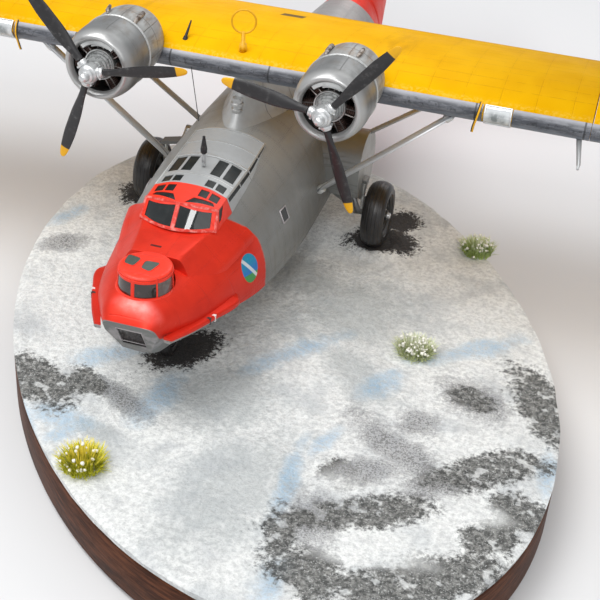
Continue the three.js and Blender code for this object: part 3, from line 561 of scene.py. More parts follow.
def worn_red():
    """Red whose edges are rubbed pale."""
    shader = Shader("worn_red", Metallic=0.0, Roughness=0.4)
    rub = shader.noise(1.2, 5.0).ramp(0.42, 0.66)
    shader.colour(shader.mix((0.62, 0.035, 0.02), (0.80, 0.30, 0.26), rub * 0.8))
    shader.bump(rub * 0.02)
    return shader.material


def glass(name, tint=(0.02, 0.028, 0.027), alpha=0.62, shine=0.8):
    shader = Shader(name, Metallic=0.0, Roughness=0.05, Alpha=alpha, Specular_IOR_Level=shine,
                    Coat_Weight=shine * 0.7, Coat_Roughness=0.03)
    smear = shader.noise(2.5, 4.0).ramp(0.45, 0.8)
    shader.colour(shader.mix(tint, tuple(2.2 * c + 0.03 for c in tint), smear * 0.4))
    return shader.material


def cockpit_glass():
    """Dark glazing, glossy in the windshield and duller on the roof."""
    shader = Shader("cockpit_glass", Metallic=0.0, Alpha=0.94, Specular_IOR_Level=0.3, Coat_Roughness=0.03)
    front = shader.y.ramp(38.6, 37.4)
    smear = shader.noise(2.5, 4.0).ramp(0.45, 0.8)
    shader.colour(shader.mix((0.010, 0.013, 0.013), (0.045, 0.052, 0.050), smear * 0.5))
    shader.feed(shader.surface.inputs["Coat Weight"], front * 0.9)
    shader.roughness(0.30 - front * 0.24 + smear * 0.04)
    return shader.material


def turret_glass():
    """Brown-black panes with a paler painted reflection on the port side."""
    shader = Shader("turret_glass", Metallic=0.0, Roughness=0.08, Alpha=1.0, Coat_Weight=0.5)
    turn = shader.math("ARCTAN2", shader.x, TURRET["y"] - shader.y)
    # A painted reflection: the panes facing port are paler.
    pale = turn.ramp(0.72, 0.9) * turn.ramp(1.65, 1.5)
    smear = shader.noise(1.6, 4.0)
    dark = shader.mix((0.016, 0.009, 0.007), (0.06, 0.034, 0.028), smear.ramp(0.5, 0.75))
    shader.colour(shader.mix(dark, (0.13, 0.10, 0.09), pale * 0.8))
    return shader.material


def mast_paint():
    """Silver below and black above."""
    shader = Shader("mast_paint", Metallic=0.2)
    spots = shader.noise(1.0, 3.0)
    metal = shader.mix((0.42, 0.43, 0.43), (0.2, 0.2, 0.2), spots.ramp(0.4, 0.7))
    black = shader.mix((0.012, 0.012, 0.012), (0.05, 0.05, 0.05), spots.ramp(0.5, 0.8))
    shader.colour(shader.mix(metal, black, shader.z.ramp(46.0, 46.4)))
    shader.roughness(0.4 + spots * 0.2)
    return shader.material


def blade_paint(name):
    """Scuffed dark grey with a yellow tip."""
    shader = Shader(f"blade_paint_{name}", Metallic=0.1, Specular_IOR_Level=0.45)
    radius, _ = shader.polar(SIDES[name] * PROP["x"], PROP["z"])
    scuff = shader.noise(1.4, 5.0)
    yellow = shader.mix(YELLOW, (0.62, 0.32, 0.02), scuff.ramp(0.4, 0.7) * 0.5)
    shader.colour(shader.layers(
        (0.022, 0.021, 0.022),
        ((0.065, 0.063, 0.063), scuff.ramp(0.5, 0.8)),
        ((0.16, 0.16, 0.16), radius.ramp(21.0, 8.0) * scuff.ramp(0.58, 0.76) * 0.4),
        (yellow, radius.ramp(22.5, 22.7)),
    ))
    shader.roughness(0.32 + scuff * 0.2)
    shader.bump(scuff * 0.01)
    return shader.material


def engine_paint(name):
    """Dark cylinders with fins, and edges brushed with metal."""
    shader = Shader(f"engine_paint_{name}", Metallic=0.2)
    radius, _ = shader.polar(SIDES[name] * PROP["x"], PROP["z"])
    fins = radius.near_multiple(0.5) / 0.25
    outer = radius.ramp(3.4, 3.8)
    grain = shader.noise(0.8, 4.0)
    dark = shader.layers(
        (0.05, 0.028, 0.022),
        ((0.17, 0.105, 0.085), fins.ramp(0.3, 0.9) * outer),
        ((0.30, 0.23, 0.20), grain.ramp(0.6, 0.8) * 0.5),
    )
    case = shader.mix((0.34, 0.35, 0.345), (0.12, 0.12, 0.12), grain.ramp(0.45, 0.7))
    shader.colour(shader.mix(case, dark, outer))
    shader.roughness(0.4 + grain * 0.25)
    shader.bump(fins * outer * 0.12)
    return shader.material


def tyre_rubber(name, wheel):
    """Black rubber with grooves round the tread and a little dust."""
    shader = Shader(name, Metallic=0.0, Specular_IOR_Level=0.5)
    across = shader.x.size() - abs(wheel["x"])
    u = shader.y - wheel["y"]
    v = shader.z - wheel["z"]
    radius = shader.math("SQRT", u * u + v * v)
    tread = radius.ramp(wheel["radius"] * 0.93, wheel["radius"] * 0.96)
    grooves = line_mask(across.near_multiple(1.1), 0.2) * tread
    dust = shader.noise(2.0, 5.0)
    colour = shader.mix((0.013, 0.0115, 0.011), (0.030, 0.027, 0.026), dust.ramp(0.4, 0.75))
    colour = shader.mix(colour, (0.12, 0.115, 0.11), dust.ramp(0.68, 0.84) * 0.2)
    shader.colour(colour)
    shader.roughness(0.28 + dust * 0.2)
    shader.bump(grooves * -0.12 + dust * 0.02)
    return shader.material


def spotted(name, base, spot, grain, edges, rough, share=1.0, bump=0.0, **sockets):
    """One colour with spots of another.

    grain is the noise's size and detail, edges are where the spots start and are full, and rough
    is the roughness and what the spots add to it.
    """
    shader = Shader(name, **sockets)
    spots = shader.noise(*grain)
    shader.colour(shader.mix(base, spot, spots.ramp(*edges) * share))
    shader.roughness(rough[0] + spots * rough[1])
    if bump:
        shader.bump(spots * bump)
    return shader.material


def bright_metal(name, base=(0.55, 0.56, 0.56), grime=0.5):
    return spotted(name, base, (0.13, 0.125, 0.12), (1.0, 5.0), (0.48, 0.75), (0.25, 0.3), grime, 0.02,
                   Metallic=0.75)


def exhaust_metal(name):
    return spotted(f"exhaust_metal_{name}", (0.10, 0.075, 0.06), (0.42, 0.38, 0.34), (1.1, 4.0),
                   (0.4, 0.66), (0.4, 0.3), Metallic=0.5)


def yellow_metal(name):
    return spotted(f"yellow_trim_{name}", YELLOW, YELLOW_DARK, (0.9, 4.0), (0.4, 0.75), (0.4, 0.15), 0.6,
                   Metallic=0.0)


def fine_black(name="black"):
    return spotted(f"fine_black_{name}", (0.010, 0.010, 0.011), (0.05, 0.048, 0.046), (0.8, 3.0),
                   (0.45, 0.75), (0.4, 0.2), Metallic=0.1)


def wheel_paint():
    return spotted("wheel_paint", (0.035, 0.034, 0.033), (0.24, 0.24, 0.235), (1.2, 5.0), (0.52, 0.78),
                   (0.4, 0.3), bump=0.02, Metallic=0.3)


def interior_paint():
    return spotted("interior_paint", (0.035, 0.05, 0.034), (0.11, 0.13, 0.09), (1.5, 4.0), (0.4, 0.8),
                   (0.6, 0.2), Metallic=0.0)


def granule_white(index):
    return spotted(f"snow_granules_{index}", (0.70, 0.69, 0.60), (0.90, 0.89, 0.82), (0.5, 3.0), (0.4, 0.6),
                   (0.7, 0.2), Metallic=0.0, Specular_IOR_Level=0.3)


def dark_wood():
    """Dark wood with level bands and open pores."""
    shader = Shader("dark_wood", Metallic=0.0, Specular_IOR_Level=0.16)
    bands = shader.noise(3.2, 6.0, 0.7, place=shader.stretched((0.35, 0.35, 4.0)))
    pores = shader.noise(0.7, 3.0, place=shader.stretched((0.3, 0.3, 3.0)))
    shader.colour(shader.layers(
        (0.034, 0.011, 0.005),
        ((0.125, 0.042, 0.018), bands.ramp(0.35, 0.7)),
        ((0.012, 0.005, 0.003), pores.ramp(0.58, 0.72) * 0.7),
    ))
    shader.roughness(0.42 + pores * 0.3)
    shader.bump(bands * 0.04 + pores * -0.03)
    return shader.material


# Patches of the ground. Columns: x, y, half length, half width, turn in degrees
ROCK = (
    (45, -20, 9, 3.4, -74), (59, -8, 18, 5, 29), (52, 3, 6, 4.5, -37), (75, 40, 6, 4, -34),
    (92, 44, 17, 7, -61), (83, 15, 15, 5.5, 33), (92, 4, 7, 6, -52), (53, -29, 9, 7, -24),
    (76, -23, 22, 6.5, 33), (88, -5, 8, 5, 42), (-24, 9, 12, 7, -34), (-15, 13, 7, 4, -33),
)
# Snow that breaks up the rocks
PALE = ((57, 4, 15, 5, 43), (64, -19, 11, 4, 7), (83, 1, 7, 3, -7), (70, 33, 6, 3, 30), (66, 60, 14, 8, 60))
# Pale gravel
GRAVEL = (
    (62, 16, 15, 5, -30), (64, 26, 5, 4, 40), (57, 6, 9, 4, 20), (76, 40, 9, 6, -34), (-47, 70, 7, 4, 37),
    (-4, 10, 9, 3.4, -27), (50, -14, 6, 9, 0), (73, 6, 9, 4, 33),
)
# Grey patches of painted shade on the snow
SHADE_PATCHES = (
    (17, 18, 14, 5, 18), (39, 66, 15, 14, 65), (31, -11, 11, 22, -16), (46, 40, 14, 6, -52),
    (18, 20, 13, 13, 0), (20, 80, 14, 8, -27), (-4, 10, 9, 3, -27), (-4, -3, 6, 3, -16),
)
# Dark soil under the wheels, which also stands in for their painted shadows
SOIL_AND_SHADOW = ((3, 34, 11, 6.5, 58), (37, 106, 11, 7.5, 25), (38, 118, 9, 6, 60), (-37, 106, 9, 7.5, 0))
# Blue meltwater ice
ICE = (
    (53, 39, 6, 3.4, 65), (46, 12, 6, 1.8, 71), (42, -5, 13, 2.0, 95), (48, -34, 8, 3, 91),
    (-15, -1, 8, 4, -4), (-11, -7, 4, 2, 62), (-14, 25, 9, 3.4, 40), (4, 13, 9, 3.4, 83),
    (-54, 85, 7, 3, 59), (-22, -4, 8, 2, -51), (96, 19, 8, 2.2, 91), (30, 44, 12, 3, 50), (72, 62, 14, 3, 40),
)


def patch_field(shader, patches, edge, soft=0.22):
    """1 inside a set of ground patches, with a ragged edge."""
    field = None
    for x, y, long, wide, turn in patches:
        inside = (shader.blob(x, y, long, wide, turn) + edge).ramp(1 + soft / 2, 1 - soft / 2)
        field = inside if field is None else field.either(inside)
    return field


def snow_ground():
    """Granular snow over speckled rock, pale gravel, patches of painted shade, and dark soil that also stands
    in for painted shadows under the wheels.
    """
    shader = Shader("snow_ground", Metallic=0.0, Specular_IOR_Level=0.25, Subsurface_Weight=0.0)
    broad = shader.noise(17.0, 4.0, 0.6)
    coarse = shader.noise(9.0, 6.0, 0.7)
    fine = shader.noise(1.3, 6.0, 0.75)
    grain = shader.noise(0.45, 3.0, 0.7)
    crumbs = shader.cells(0.9)
    wide, close, small = coarse - 0.5, fine - 0.5, grain - 0.5
    ragged = wide * 1.7 + close * 1.5
    # Patches of painted shade on the snow.
    painted_shade = patch_field(shader, SHADE_PATCHES, wide * 2.6 + close * 0.8, 1.2)
    ice = patch_field(shader, ICE, wide * 3.0 + close * 1.2, 1.3)
    specks = shader.noise(0.7, 4.0, 0.8).ramp(0.60, 0.72) * coarse.ramp(0.38, 0.6)
    gravelly = patch_field(shader, GRAVEL, ragged * 1.4, 1.1)
    snow = shader.layers(
        (0.60, 0.61, 0.60),
        ((0.84, 0.85, 0.83), fine.ramp(0.35, 0.62)),
        ((0.42, 0.43, 0.435), coarse.ramp(0.5, 0.74) * 0.5),
        ((0.40, 0.43, 0.45), broad.ramp(0.46, 0.68) * 0.5),
        ((0.33, 0.36, 0.365), painted_shade * 0.55),
        ((0.13, 0.36, 0.58), ice * fine.ramp(0.3, 0.6) * 0.5),
        ((0.93, 0.94, 0.92), grain.ramp(0.6, 0.75) * 0.6),
        ((0.10, 0.10, 0.10), specks * 0.45),
        ((0.27, 0.27, 0.285), gravelly * 0.55),
        ((0.13, 0.13, 0.125), gravelly * (grain + close * 0.8).ramp(0.46, 0.58) * 0.75),
    )
    flakes = shader.cells(0.62).ramp(0.34, 0.22) * grain.ramp(0.48, 0.58) * coarse.ramp(0.42, 0.6)
    rock = shader.layers(
        (0.032, 0.033, 0.030),
        ((0.25, 0.25, 0.235), fine.ramp(0.40, 0.64)),
        ((0.018, 0.018, 0.017), grain.ramp(0.44, 0.34) * 0.7),
        ((0.58, 0.59, 0.58), flakes.either(grain.ramp(0.58, 0.67)) * 0.8),
    )
    islands = shader.noise(4.6, 3.0, 0.6).ramp(0.55, 0.63)
    thin = patch_field(shader, PALE, ragged, 0.8)
    rocky = patch_field(shader, ROCK, ragged, 0.45) * (1 - islands * 0.7) * (1 - thin * 0.7)
    # Dark soil, also painted as the shadows under the wheels.
    soil_shadow_colour = shader.mix((0.008, 0.006, 0.006), (0.05, 0.040, 0.036), grain.ramp(0.45, 0.7))
    soil_and_shadow = patch_field(shader, SOIL_AND_SHADOW, close * 1.8 + small * 0.8 + wide * 1.2, 0.3)
    shader.colour(shader.layers(snow, (rock, rocky * 0.92), (soil_shadow_colour, soil_and_shadow * 0.95)))
    shader.roughness(0.72 + fine * 0.2)
    shader.bump(fine * 0.5 + grain * 0.28 + crumbs * 0.12)
    return shader.material


def grass_fibre(name, base, tip, height):
    """Grass whose hue wanders, paler towards its tips."""
    shader = Shader(name, Metallic=0.0, Specular_IOR_Level=0.2)
    up = shader.z.ramp(0.3, height)
    hue = shader.noise(0.8, 2.0)
    colour = shader.mix(base, tuple(c * 1.5 for c in base), hue.ramp(0.35, 0.7))
    shader.colour(shader.mix(colour, tip, up.ramp(0.25, 0.8)))
    shader.roughness(0.85 - up * 0.1)
    return shader.material


# Pieces

node_slot = {row["node"]: row["material_slot"] for row in frame["record"]["subparts"]}
node_body = {}
for body_name, names in frame["record"]["behaviour"]["bodies"].items():
    for node_name in names:
        node_body[node_name] = body_name


def new_piece(name, bm, material, slot, sharp=35.0, replaces=(), body="airframe"):
    """A mesh object from a bmesh, riding on a body. Edges sharper than `sharp` degrees stay so."""
    bmesh.ops.recalc_face_normals(bm, faces=bm.faces)
    mesh = bpy.data.meshes.new(name)
    bm.to_mesh(mesh)
    bm.free()
    mesh.shade_smooth()
    mesh.set_sharp_from_angle(angle=math.radians(sharp))
    mesh.materials.append(material)
    piece = bpy.data.objects.new(name, mesh)
    bpy.context.scene.collection.objects.link(piece)
    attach(piece, body)
    if replaces:
        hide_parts(*replaces)
    return piece


def dress(node, material, sharp):
    """A smooth-shaded copy of a CAD node, in its place."""
    bm = bmesh.new()
    bm.from_mesh(frame["nodes"][node].data)
    bmesh.ops.remove_doubles(bm, verts=bm.verts, dist=2e-6)
    return new_piece(f"{node}_skin", bm, material, node_slot[node], sharp, (node,), node_body[node])


def paint(node, material):
    """Gives a CAD node a better material."""
    data = frame["nodes"][node].data
    data.materials.clear()
    data.materials.append(material)


def cast(tree, start, direction, lift=0.0):
    """The point in mm where a ray meets a surface, raised by a lift in mm, and its normal."""
    hit, normal, _, _ = tree.ray_cast(at(*start), Vector(direction).normalized())
    if hit is None:
        raise ValueError(f"no surface from {start} towards {direction}")
    if normal.dot(Vector(direction)) > 0:
        normal = -normal
    return to_mm(hit) + normal * lift, normal


# Shapes

def turns(count):
    """Evenly spaced angles round a circle."""
    return [2 * math.pi * step / count for step in range(count)]


def spline(rows, spacing):
    """Rows filled in by curves that don't overshoot; the first column rises."""
    def slope(k, c):
        before = (rows[k][c] - rows[k - 1][c]) / (rows[k][0] - rows[k - 1][0]) if k > 0 else None
        after = (rows[k + 1][c] - rows[k][c]) / (rows[k + 1][0] - rows[k][0]) if k < len(rows) - 1 else None
        if before is None or after is None:
            return after if before is None else before
        return 0 if before * after <= 0 else 2 * before * after / (before + after)
    filled = [tuple(rows[0])]
    for k in range(len(rows) - 1):
        span = rows[k + 1][0] - rows[k][0]
        steps = max(1, math.ceil(span / spacing))
        for step in range(1, steps + 1):
            t = step / steps
            row = [rows[k][0] + t * span]
            for c in range(1, len(rows[k])):
                m0, m1 = slope(k, c) * span, slope(k + 1, c) * span
                row.append((2 * t ** 3 - 3 * t ** 2 + 1) * rows[k][c] + (t ** 3 - 2 * t ** 2 + t) * m0
                           + (3 * t ** 2 - 2 * t ** 3) * rows[k + 1][c] + (t ** 3 - t ** 2) * m1)
            filled.append(tuple(row))
    return filled


def through(points, per_span):
    """A smooth curve through points, as [points]."""
    points = [Vector(point) for point in points]
    ends = [2 * points[0] - points[1], *points, 2 * points[-1] - points[-2]]
    curve = [points[0]]
    for a, b, c, d in zip(ends, ends[1:], ends[2:], ends[3:]):
        for step in range(1, per_span + 1):
            t = step / per_span
            curve.append(0.5 * (2 * b + (c - a) * t + (2 * a - 5 * b + 4 * c - d) * t * t
                                + (3 * b - a - 3 * c + d) * t ** 3))
    return curve


def turned_smooth(points, per_span=4):
    """A smooth profile for add_turned through rows of (radius, distance along the axis)."""
    curve = through([(radius, 0, along) for radius, along in points], per_span)
    return [(point.x, point.z) for point in curve]


def eased(corners, share=0.28, per_corner=4):
    """A flat outline with its corners rounded off."""
    points = []
    count = len(corners)
    for index, corner in enumerate(corners):
        before, here, after = Vector(corners[index - 1]), Vector(corner), Vector(corners[(index + 1) % count])
        start, end = here.lerp(before, share), here.lerp(after, share)
        for step in range(per_corner + 1):
            t = step / per_corner
            points.append((start * (1 - t) ** 2 + here * 2 * t * (1 - t) + end * t * t)[:])
    return points


def add_skin(bm, loops, capped=True):
    """Faces between closed loops of vertices, and over both ends."""
    for first, second in zip(loops, loops[1:]):
        for step in range(len(first)):
            after = (step + 1) % len(first)
            bm.faces.new((first[step], first[after], second[after], second[step]))
    if capped:
        bm.faces.new(loops[0][::-1])
        bm.faces.new(loops[-1])


def add_loft(bm, rings):
    """A closed skin over rings of points in mm."""
    add_skin(bm, [[bm.verts.new(at(*point)) for point in ring] for ring in rings])


def add_box(bm, x0, x1, y0, y1, z0, z1):
    """A closed box between limits in mm."""
    add_loft(bm, [[(x0, y, z0), (x1, y, z0), (x1, y, z1), (x0, y, z1)] for y in (y0, y1)])


def add_tube(bm, points, radii, sides=8):
    """A closed round tube through points in mm."""
    points = [Vector(point) for point in points]
    if not isinstance(radii, (list, tuple)):
        radii = [radii] * len(points)
    rings = []
    side = (points[1] - points[0]).normalized().orthogonal().normalized()
    for index, (point, radius) in enumerate(zip(points, radii)):
        ahead = points[min(index + 1, len(points) - 1)] - points[max(index - 1, 0)]
        tangent = ahead.normalized()
        side = (side - tangent * side.dot(tangent)).normalized()
        up = tangent.cross(side)
        rings.append([point + (side * math.cos(a) + up * math.sin(a)) * radius for a in turns(sides)])
    add_loft(bm, rings)


def add_slab(bm, outline, normal, thickness):
    """A thin plate over an outline of points in mm, raised along a normal."""
    lift = Vector(normal).normalized() * thickness
    low = [Vector(point) for point in outline]
    add_loft(bm, [low, [point + lift for point in low]])


def add_ball(bm, centre, radius, rings=4):
    """A small ball."""
    made = bmesh.ops.create_uvsphere(bm, u_segments=2 * rings, v_segments=rings, radius=radius / 1000)
    for vertex in made["verts"]:
        vertex.co += at(*centre)


def add_turned(bm, profile, centre, axis, segments=32):
    """A turned shape from rows of (radius, distance along the axis), open or closed on itself."""
    axis = Vector(axis).normalized()
    side = axis.orthogonal().normalized()
    up = axis.cross(side)
    closed = profile[0] == profile[-1]
    loops = []
    for radius, along in profile[:-1] if closed else profile:
        offsets = [(side * math.cos(a) + up * math.sin(a)) * radius + axis * along for a in turns(segments)]
        loops.append([bm.verts.new(at(*(Vector(centre) + offset))) for offset in offsets])
    if closed:
        loops.append(loops[0])
    add_skin(bm, loops, not closed)


def add_ribbon(bm, rows, width, thickness):
    """A raised strip along rows of (point, surface normal, direction across), in mm."""
    rings = []
    for point, normal, across in rows:
        half = Vector(across).normalized() * width / 2
        lift = Vector(normal).normalized() * thickness
        sunk = lift * 0.6
        rings.append((point - half - sunk, point + half - sunk,
                      point + half * 0.8 + lift, point - half * 0.8 + lift))
    add_loft(bm, rings)


def carved(bm, *cutters):
    """A shape with other closed shapes cut away."""
    made = []
    for shape in (bm, *cutters):
        bmesh.ops.recalc_face_normals(shape, faces=shape.faces)
        mesh = bpy.data.meshes.new("carving")
        shape.to_mesh(mesh)
        shape.free()
        made.append(bpy.data.objects.new("carving", mesh))
        bpy.context.scene.collection.objects.link(made[-1])
    for tool in made[1:]:
        modifier = made[0].modifiers.new("cut", "BOOLEAN")
        modifier.operation = "DIFFERENCE"
        modifier.solver = "EXACT"
        modifier.object = tool
    result = bmesh.new()
    result.from_object(made[0], bpy.context.evaluated_depsgraph_get())
    for shape in made:
        bpy.data.meshes.remove(shape.data)
    return result


# Plinth

def on_plinth(share, angle):
    """Aircraft x and y of a point at a share of the oval's radius."""
    u = PLINTH["long"] * share * math.cos(angle)
    v = PLINTH["wide"] * share * math.sin(angle)
    c, s = math.cos(PLINTH["turn"]), math.sin(PLINTH["turn"])
    return PLINTH["x"] + u * c - v * s, DATUM_Y + u * s + v * c


def patch_share(x, y, patches):
    """How far inside the nearest patch a ground point lies, from 0 to 1."""
    best = 0.0
    for px, py, long, wide, turn in patches:
        c, s = math.cos(math.radians(turn)), math.sin(math.radians(turn))
        u = ((x - px) * c + (y - py) * s) / long
        v = ((y - py) * c - (x - px) * s) / wide
        best = max(best, min(1.0, max(0.0, 1.3 - math.hypot(u, v))))
    return best


def ground_height(x, y, share):
    """Height of the snow above its nominal top, at a share of the oval's radius."""
    def cloud(size, seed):
        return noise.noise(Vector((x / size, y / size, seed)))
    rocky = patch_share(x, y, ROCK)
    height = 0.5 * cloud(26, 1.0) + 0.34 * cloud(7, 2.0) + 0.22 * cloud(2.4, 3.0) + 0.16 * cloud(1.1, 4.0)
    height += rocky * (0.5 * abs(cloud(4.2, 5.0)) + 0.5 * abs(cloud(1.7, 6.0)) - 0.2)
    for wheel, bank in ((WHEEL, 1.5), ({**WHEEL, "x": -WHEEL["x"]}, 1.2), (NOSE_WHEEL, 0.5)):
        across, along = abs(x - wheel["x"]), abs(y - wheel["y"])
        reach = math.hypot(across / 7.0, along / 8.0)
        calm = min(1.0, max(0.0, (reach - 0.6) / 0.6))
        height = height * calm + (1 - calm) * 0.12 * cloud(1.0, 7.0)
        ridge = bank * math.exp(-((reach - 1.0) / 0.32) ** 2)
        heap = ridge * (0.8 + 0.5 * cloud(2.2, 9.0) + 0.3 * cloud(0.9, 10.0))
        under = wheel["radius"] ** 2 - along ** 2
        if across < wheel["width"] / 2 + 0.5 and under > 0:
            heap = min(heap, max(0.0, wheel["z"] - math.sqrt(under) - 0.45 - max(0.0, height)))
        height += heap
    return height - 0.45 * max(0.0, share - 0.975) / 0.025


def build_ground():
    """The snow cover: rings of points from the oval's middle to its rim, and a foot below."""
    rings, steps = 150, 300
    bm = bmesh.new()
    rows = []
    for ring in range(1, rings + 1):
        share = (ring / rings) ** 0.8
        row = []
        for angle in turns(steps):
            wander = noise.noise(Vector((9 * math.cos(angle), 9 * math.sin(angle), 8.0)))
            x, y = on_plinth(share * (1 + 0.004 * wander * share ** 8), angle)
            row.append(bm.verts.new(at(x, y, ground_height(x, y, share))))
        rows.append(row)
    middle = bm.verts.new(at(*on_plinth(0, 0), ground_height(*on_plinth(0, 0), 0)))
    foot = []
    for angle in turns(steps):
        wander = 0.3 * noise.noise(Vector((14 * math.cos(angle), 14 * math.sin(angle), 11.0)))
        foot.append(bm.verts.new(at(*on_plinth(0.9985, angle), -PLINTH["snow"] + wander)))
    for step in range(steps):
        after = (step + 1) % steps
        bm.faces.new((middle, rows[0][step], rows[0][after]))
        for first, second in zip(rows, rows[1:] + [foot]):
            bm.faces.new((first[step], second[step], second[after], first[after]))
    bm.faces.new(foot[::-1])
    return new_piece("ground_snow", bm, snow_ground(), "snow", 60.0, ("ground_cover",))


def build_plinth():
    """The wooden oval with softened edges."""
    top, edge = SNOW_Z - PLINTH["snow"], 0.8
    rows = ((-edge, 0.0), (-0.25, 0.25), (0.0, edge), (0.0, top - edge), (-0.25, top - 0.25), (-edge, top))
    rings = []
    for inset, height in rows:
        places = (on_plinth(1 + inset / PLINTH["wide"], angle) for angle in turns(192))
        rings.append([(x, y, height - SNOW_Z) for x, y in places])
    bm = bmesh.new()
    add_loft(bm, rings)
    return new_piece("plinth_wood", bm, dark_wood(), "dark_wood", 50.0, ("plinth_block",))


# Columns: x, y, radius, height, blades, snow grains, base colour, tip colour
TUFTS = (
    (57.7, 54.9, 5.8, 3.8, 775, 75, (0.46, 0.50, 0.27), (0.80, 0.82, 0.66)),
    (64.1, 111.5, 5.6, 4.4, 700, 50, (0.30, 0.38, 0.12), (0.74, 0.78, 0.52)),
    (-1.9, -15.2, 5.8, 4.6, 950, 30, (0.42, 0.42, 0.03), (0.88, 0.74, 0.10)),
)


def grass_blade(bm, draw, x, y, radius, height):
    """One bent blade, narrowing towards its tip. Gives the tip, or None near the tuft's rim."""
    angle = draw.uniform(0, 2 * math.pi)
    out = math.sqrt(draw.random())
    lean = out * draw.uniform(0.4, 1.6)
    tall = height * draw.uniform(0.4, 1.3) * (1.05 - 0.5 * out)
    spread = 0.76 * radius * out
    foot = Vector((x + spread * math.cos(angle), y + spread * math.sin(angle), -0.3))
    swing = angle + draw.uniform(-0.9, 0.9)
    reach = Vector((math.cos(swing), math.sin(swing), 0)) * lean * radius * 0.34
    side = Vector((-math.sin(swing), math.cos(swing), 0)) * draw.uniform(0.08, 0.17)
    spine = []
    for t in (0, 0.4, 0.75, 1):
        rise = (tall + 0.3) * (t - 0.18 * t * t) / 0.82
        spine.append(foot + reach * t * t + Vector((0, 0, rise)))
    edges = []
    for t, point in zip((1.0, 0.9, 0.6, 0.15), spine):
        edges.append((bm.verts.new(at(*(point - side * t))), bm.verts.new(at(*(point + side * t)))))
    for (a, b), (c, d) in zip(edges, edges[1:]):
        bm.faces.new((a, b, d, c))
    return spine[-1] if out < 0.75 else None


def build_tufts():
    for index, (x, y, radius, height, blades, grains, base, tip) in enumerate(TUFTS, 1):
        draw = random.Random(40 + index)
        bm = bmesh.new()
        tips = [grass_blade(bm, draw, x, y, radius, height) for _ in range(blades)]
        tips = [point for point in tips if point is not None]
        fibre = grass_fibre(f"grass_fibre_{index}", base, tip, height)
        new_piece(f"grass_clump_{index}", bm, fibre, "grass", 80.0, (f"grass_tuft_{index}",))
        bm = bmesh.new()
        for point in draw.sample(tips, grains):
            size = draw.uniform(0.25, 0.55)
            made = bmesh.ops.create_icosphere(bm, subdivisions=1, radius=size / 1000)
            place = at(*(point - Vector((0, 0, draw.uniform(0.0, 0.5)))))
            for vertex in made["verts"]:
                vertex.co = vertex.co * draw.uniform(0.7, 1.2) + place
        new_piece(f"grass_snow_{index}", bm, granule_white(index), "snow", 60.0)


# Hull

# Columns: y, keel z, chine z, half-beam, deck z, arch power, bilge share, bilge rise, rake
HULL = (
    (4.9, 14.2, 21.0, 6.2, 25.2, 5.0, 0.56, 0.06, 0.54),
    (7.0, 13.2, 21.3, 7.9, 28.0, 3.2, 0.55, 0.12, 0.36),
    (11, 11.8, 21.3, 9.8, 29.8, 2.5, 0.52, 0.24, 0.16),
    (18, 10.2, 21.1, 12.9, 31.2, 2.2, 0.50, 0.36, 0),
    (26, 9.0, 19.6, 15.7, 33.0, 2.0, 0.50, 0.42, 0),
    (34, 8.1, 17.9, 17.5, 35.2, 1.95, 0.50, 0.44, 0),
    (44, 7.5, 16.3, 19.2, 39.6, 1.95, 0.50, 0.45, 0),
    (58, 7.0, 15.6, 20.8, 41.9, 2.0, 0.50, 0.45, 0),
    (74, 6.8, 15.3, 21.6, 43.2, 2.1, 0.50, 0.45, 0),
    (95, 6.6, 15.2, 21.4, 43.6, 2.2, 0.50, 0.45, 0),
    (117.6, 6.6, 15.2, 20.8, 43.6, 2.25, 0.50, 0.45, 0),
    (118, 9.0, 16.0, 20.6, 43.6, 2.25, 0.50, 0.45, 0),
    (140, 10.6, 17.4, 19.2, 43.4, 2.2, 0.50, 0.45, 0),
    (160, 12.4, 19.2, 17.2, 43.0, 2.1, 0.50, 0.45, 0),
    (180, 14.6, 21.2, 14.6, 42.5, 2.0, 0.50, 0.45, 0),
    (198, 17.0, 23.4, 11.2, 42.4, 2.0, 0.50, 0.45, 0),
    (198.5, 20.5, 26.0, 10.9, 42.4, 2.0, 0.50, 0.45, 0),
    (216, 25.4, 30.0, 8.2, 43.2, 2.0, 0.50, 0.40, 0),
    (236, 32.2, 36.2, 5.0, 45.4, 2.0, 0.50, 0.40, 0),
    (252.5, 40.2, 43.0, 1.9, 49.0, 2.0, 0.50, 0.40, 0),
)
# Rows where a run of the hull starts and the last one ends; a planing step lies between two runs
STEPS_IN_HULL = (0, 11, 16, 20)
# mm between the sections filled in
HULL_SPACING = 2.2


def hull_ring(row, arch_steps=20):
    """One closed section of the hull: keel, bilge, chine and an arched deck, both sides."""
    y, keel, chine, half, deck, power, bilge, rise, rake = row
    low = [(0, keel), (bilge * half, keel + rise * (chine - keel)), (half, chine)]
    port = []
    for (x0, z0), (x1, z1) in zip(low, low[1:]):
        port += [(x0 + (x1 - x0) * t, z0 + (z1 - z0) * t) for t in (0, 1 / 3, 2 / 3)]
    for step in range(arch_steps):
        angle = math.pi / 2 * step / arch_steps
        x, z = math.cos(angle) ** (2 / power), math.sin(angle) ** (2 / power)
        port.append((half * x, chine + (deck - chine) * z))
    ring = port + [(0, deck)] + [(-x, z) for x, z in reversed(port[1:])]
    return [(x, y + rake * (deck - z), z) for x, z in ring]


def hull_top(rows, x, y):
    """Height of the hull's deck at a place in plan, from rows of its sections."""
    row = min(rows, key=lambda r: abs(r[0] - y))
    chine, half, deck, power = row[2], row[3], row[4], row[5]
    return chine + (deck - chine) * max(0.0, 1 - (abs(x) / half) ** power) ** (1 / power)


# Columns: y, top half-width, top z, foot half-width, foot z
FAIRING = (
    (21.6, 6.9, 34.2, 8.7, 28.6), (24, 7.3, 34.5, 10.8, 28.4), (35, 9.7, 35.1, 14.2, 30),
    (39.5, 10.8, 35.8, 15.2, 31), (44, 11.2, 36.3, 16.0, 31.6),
)


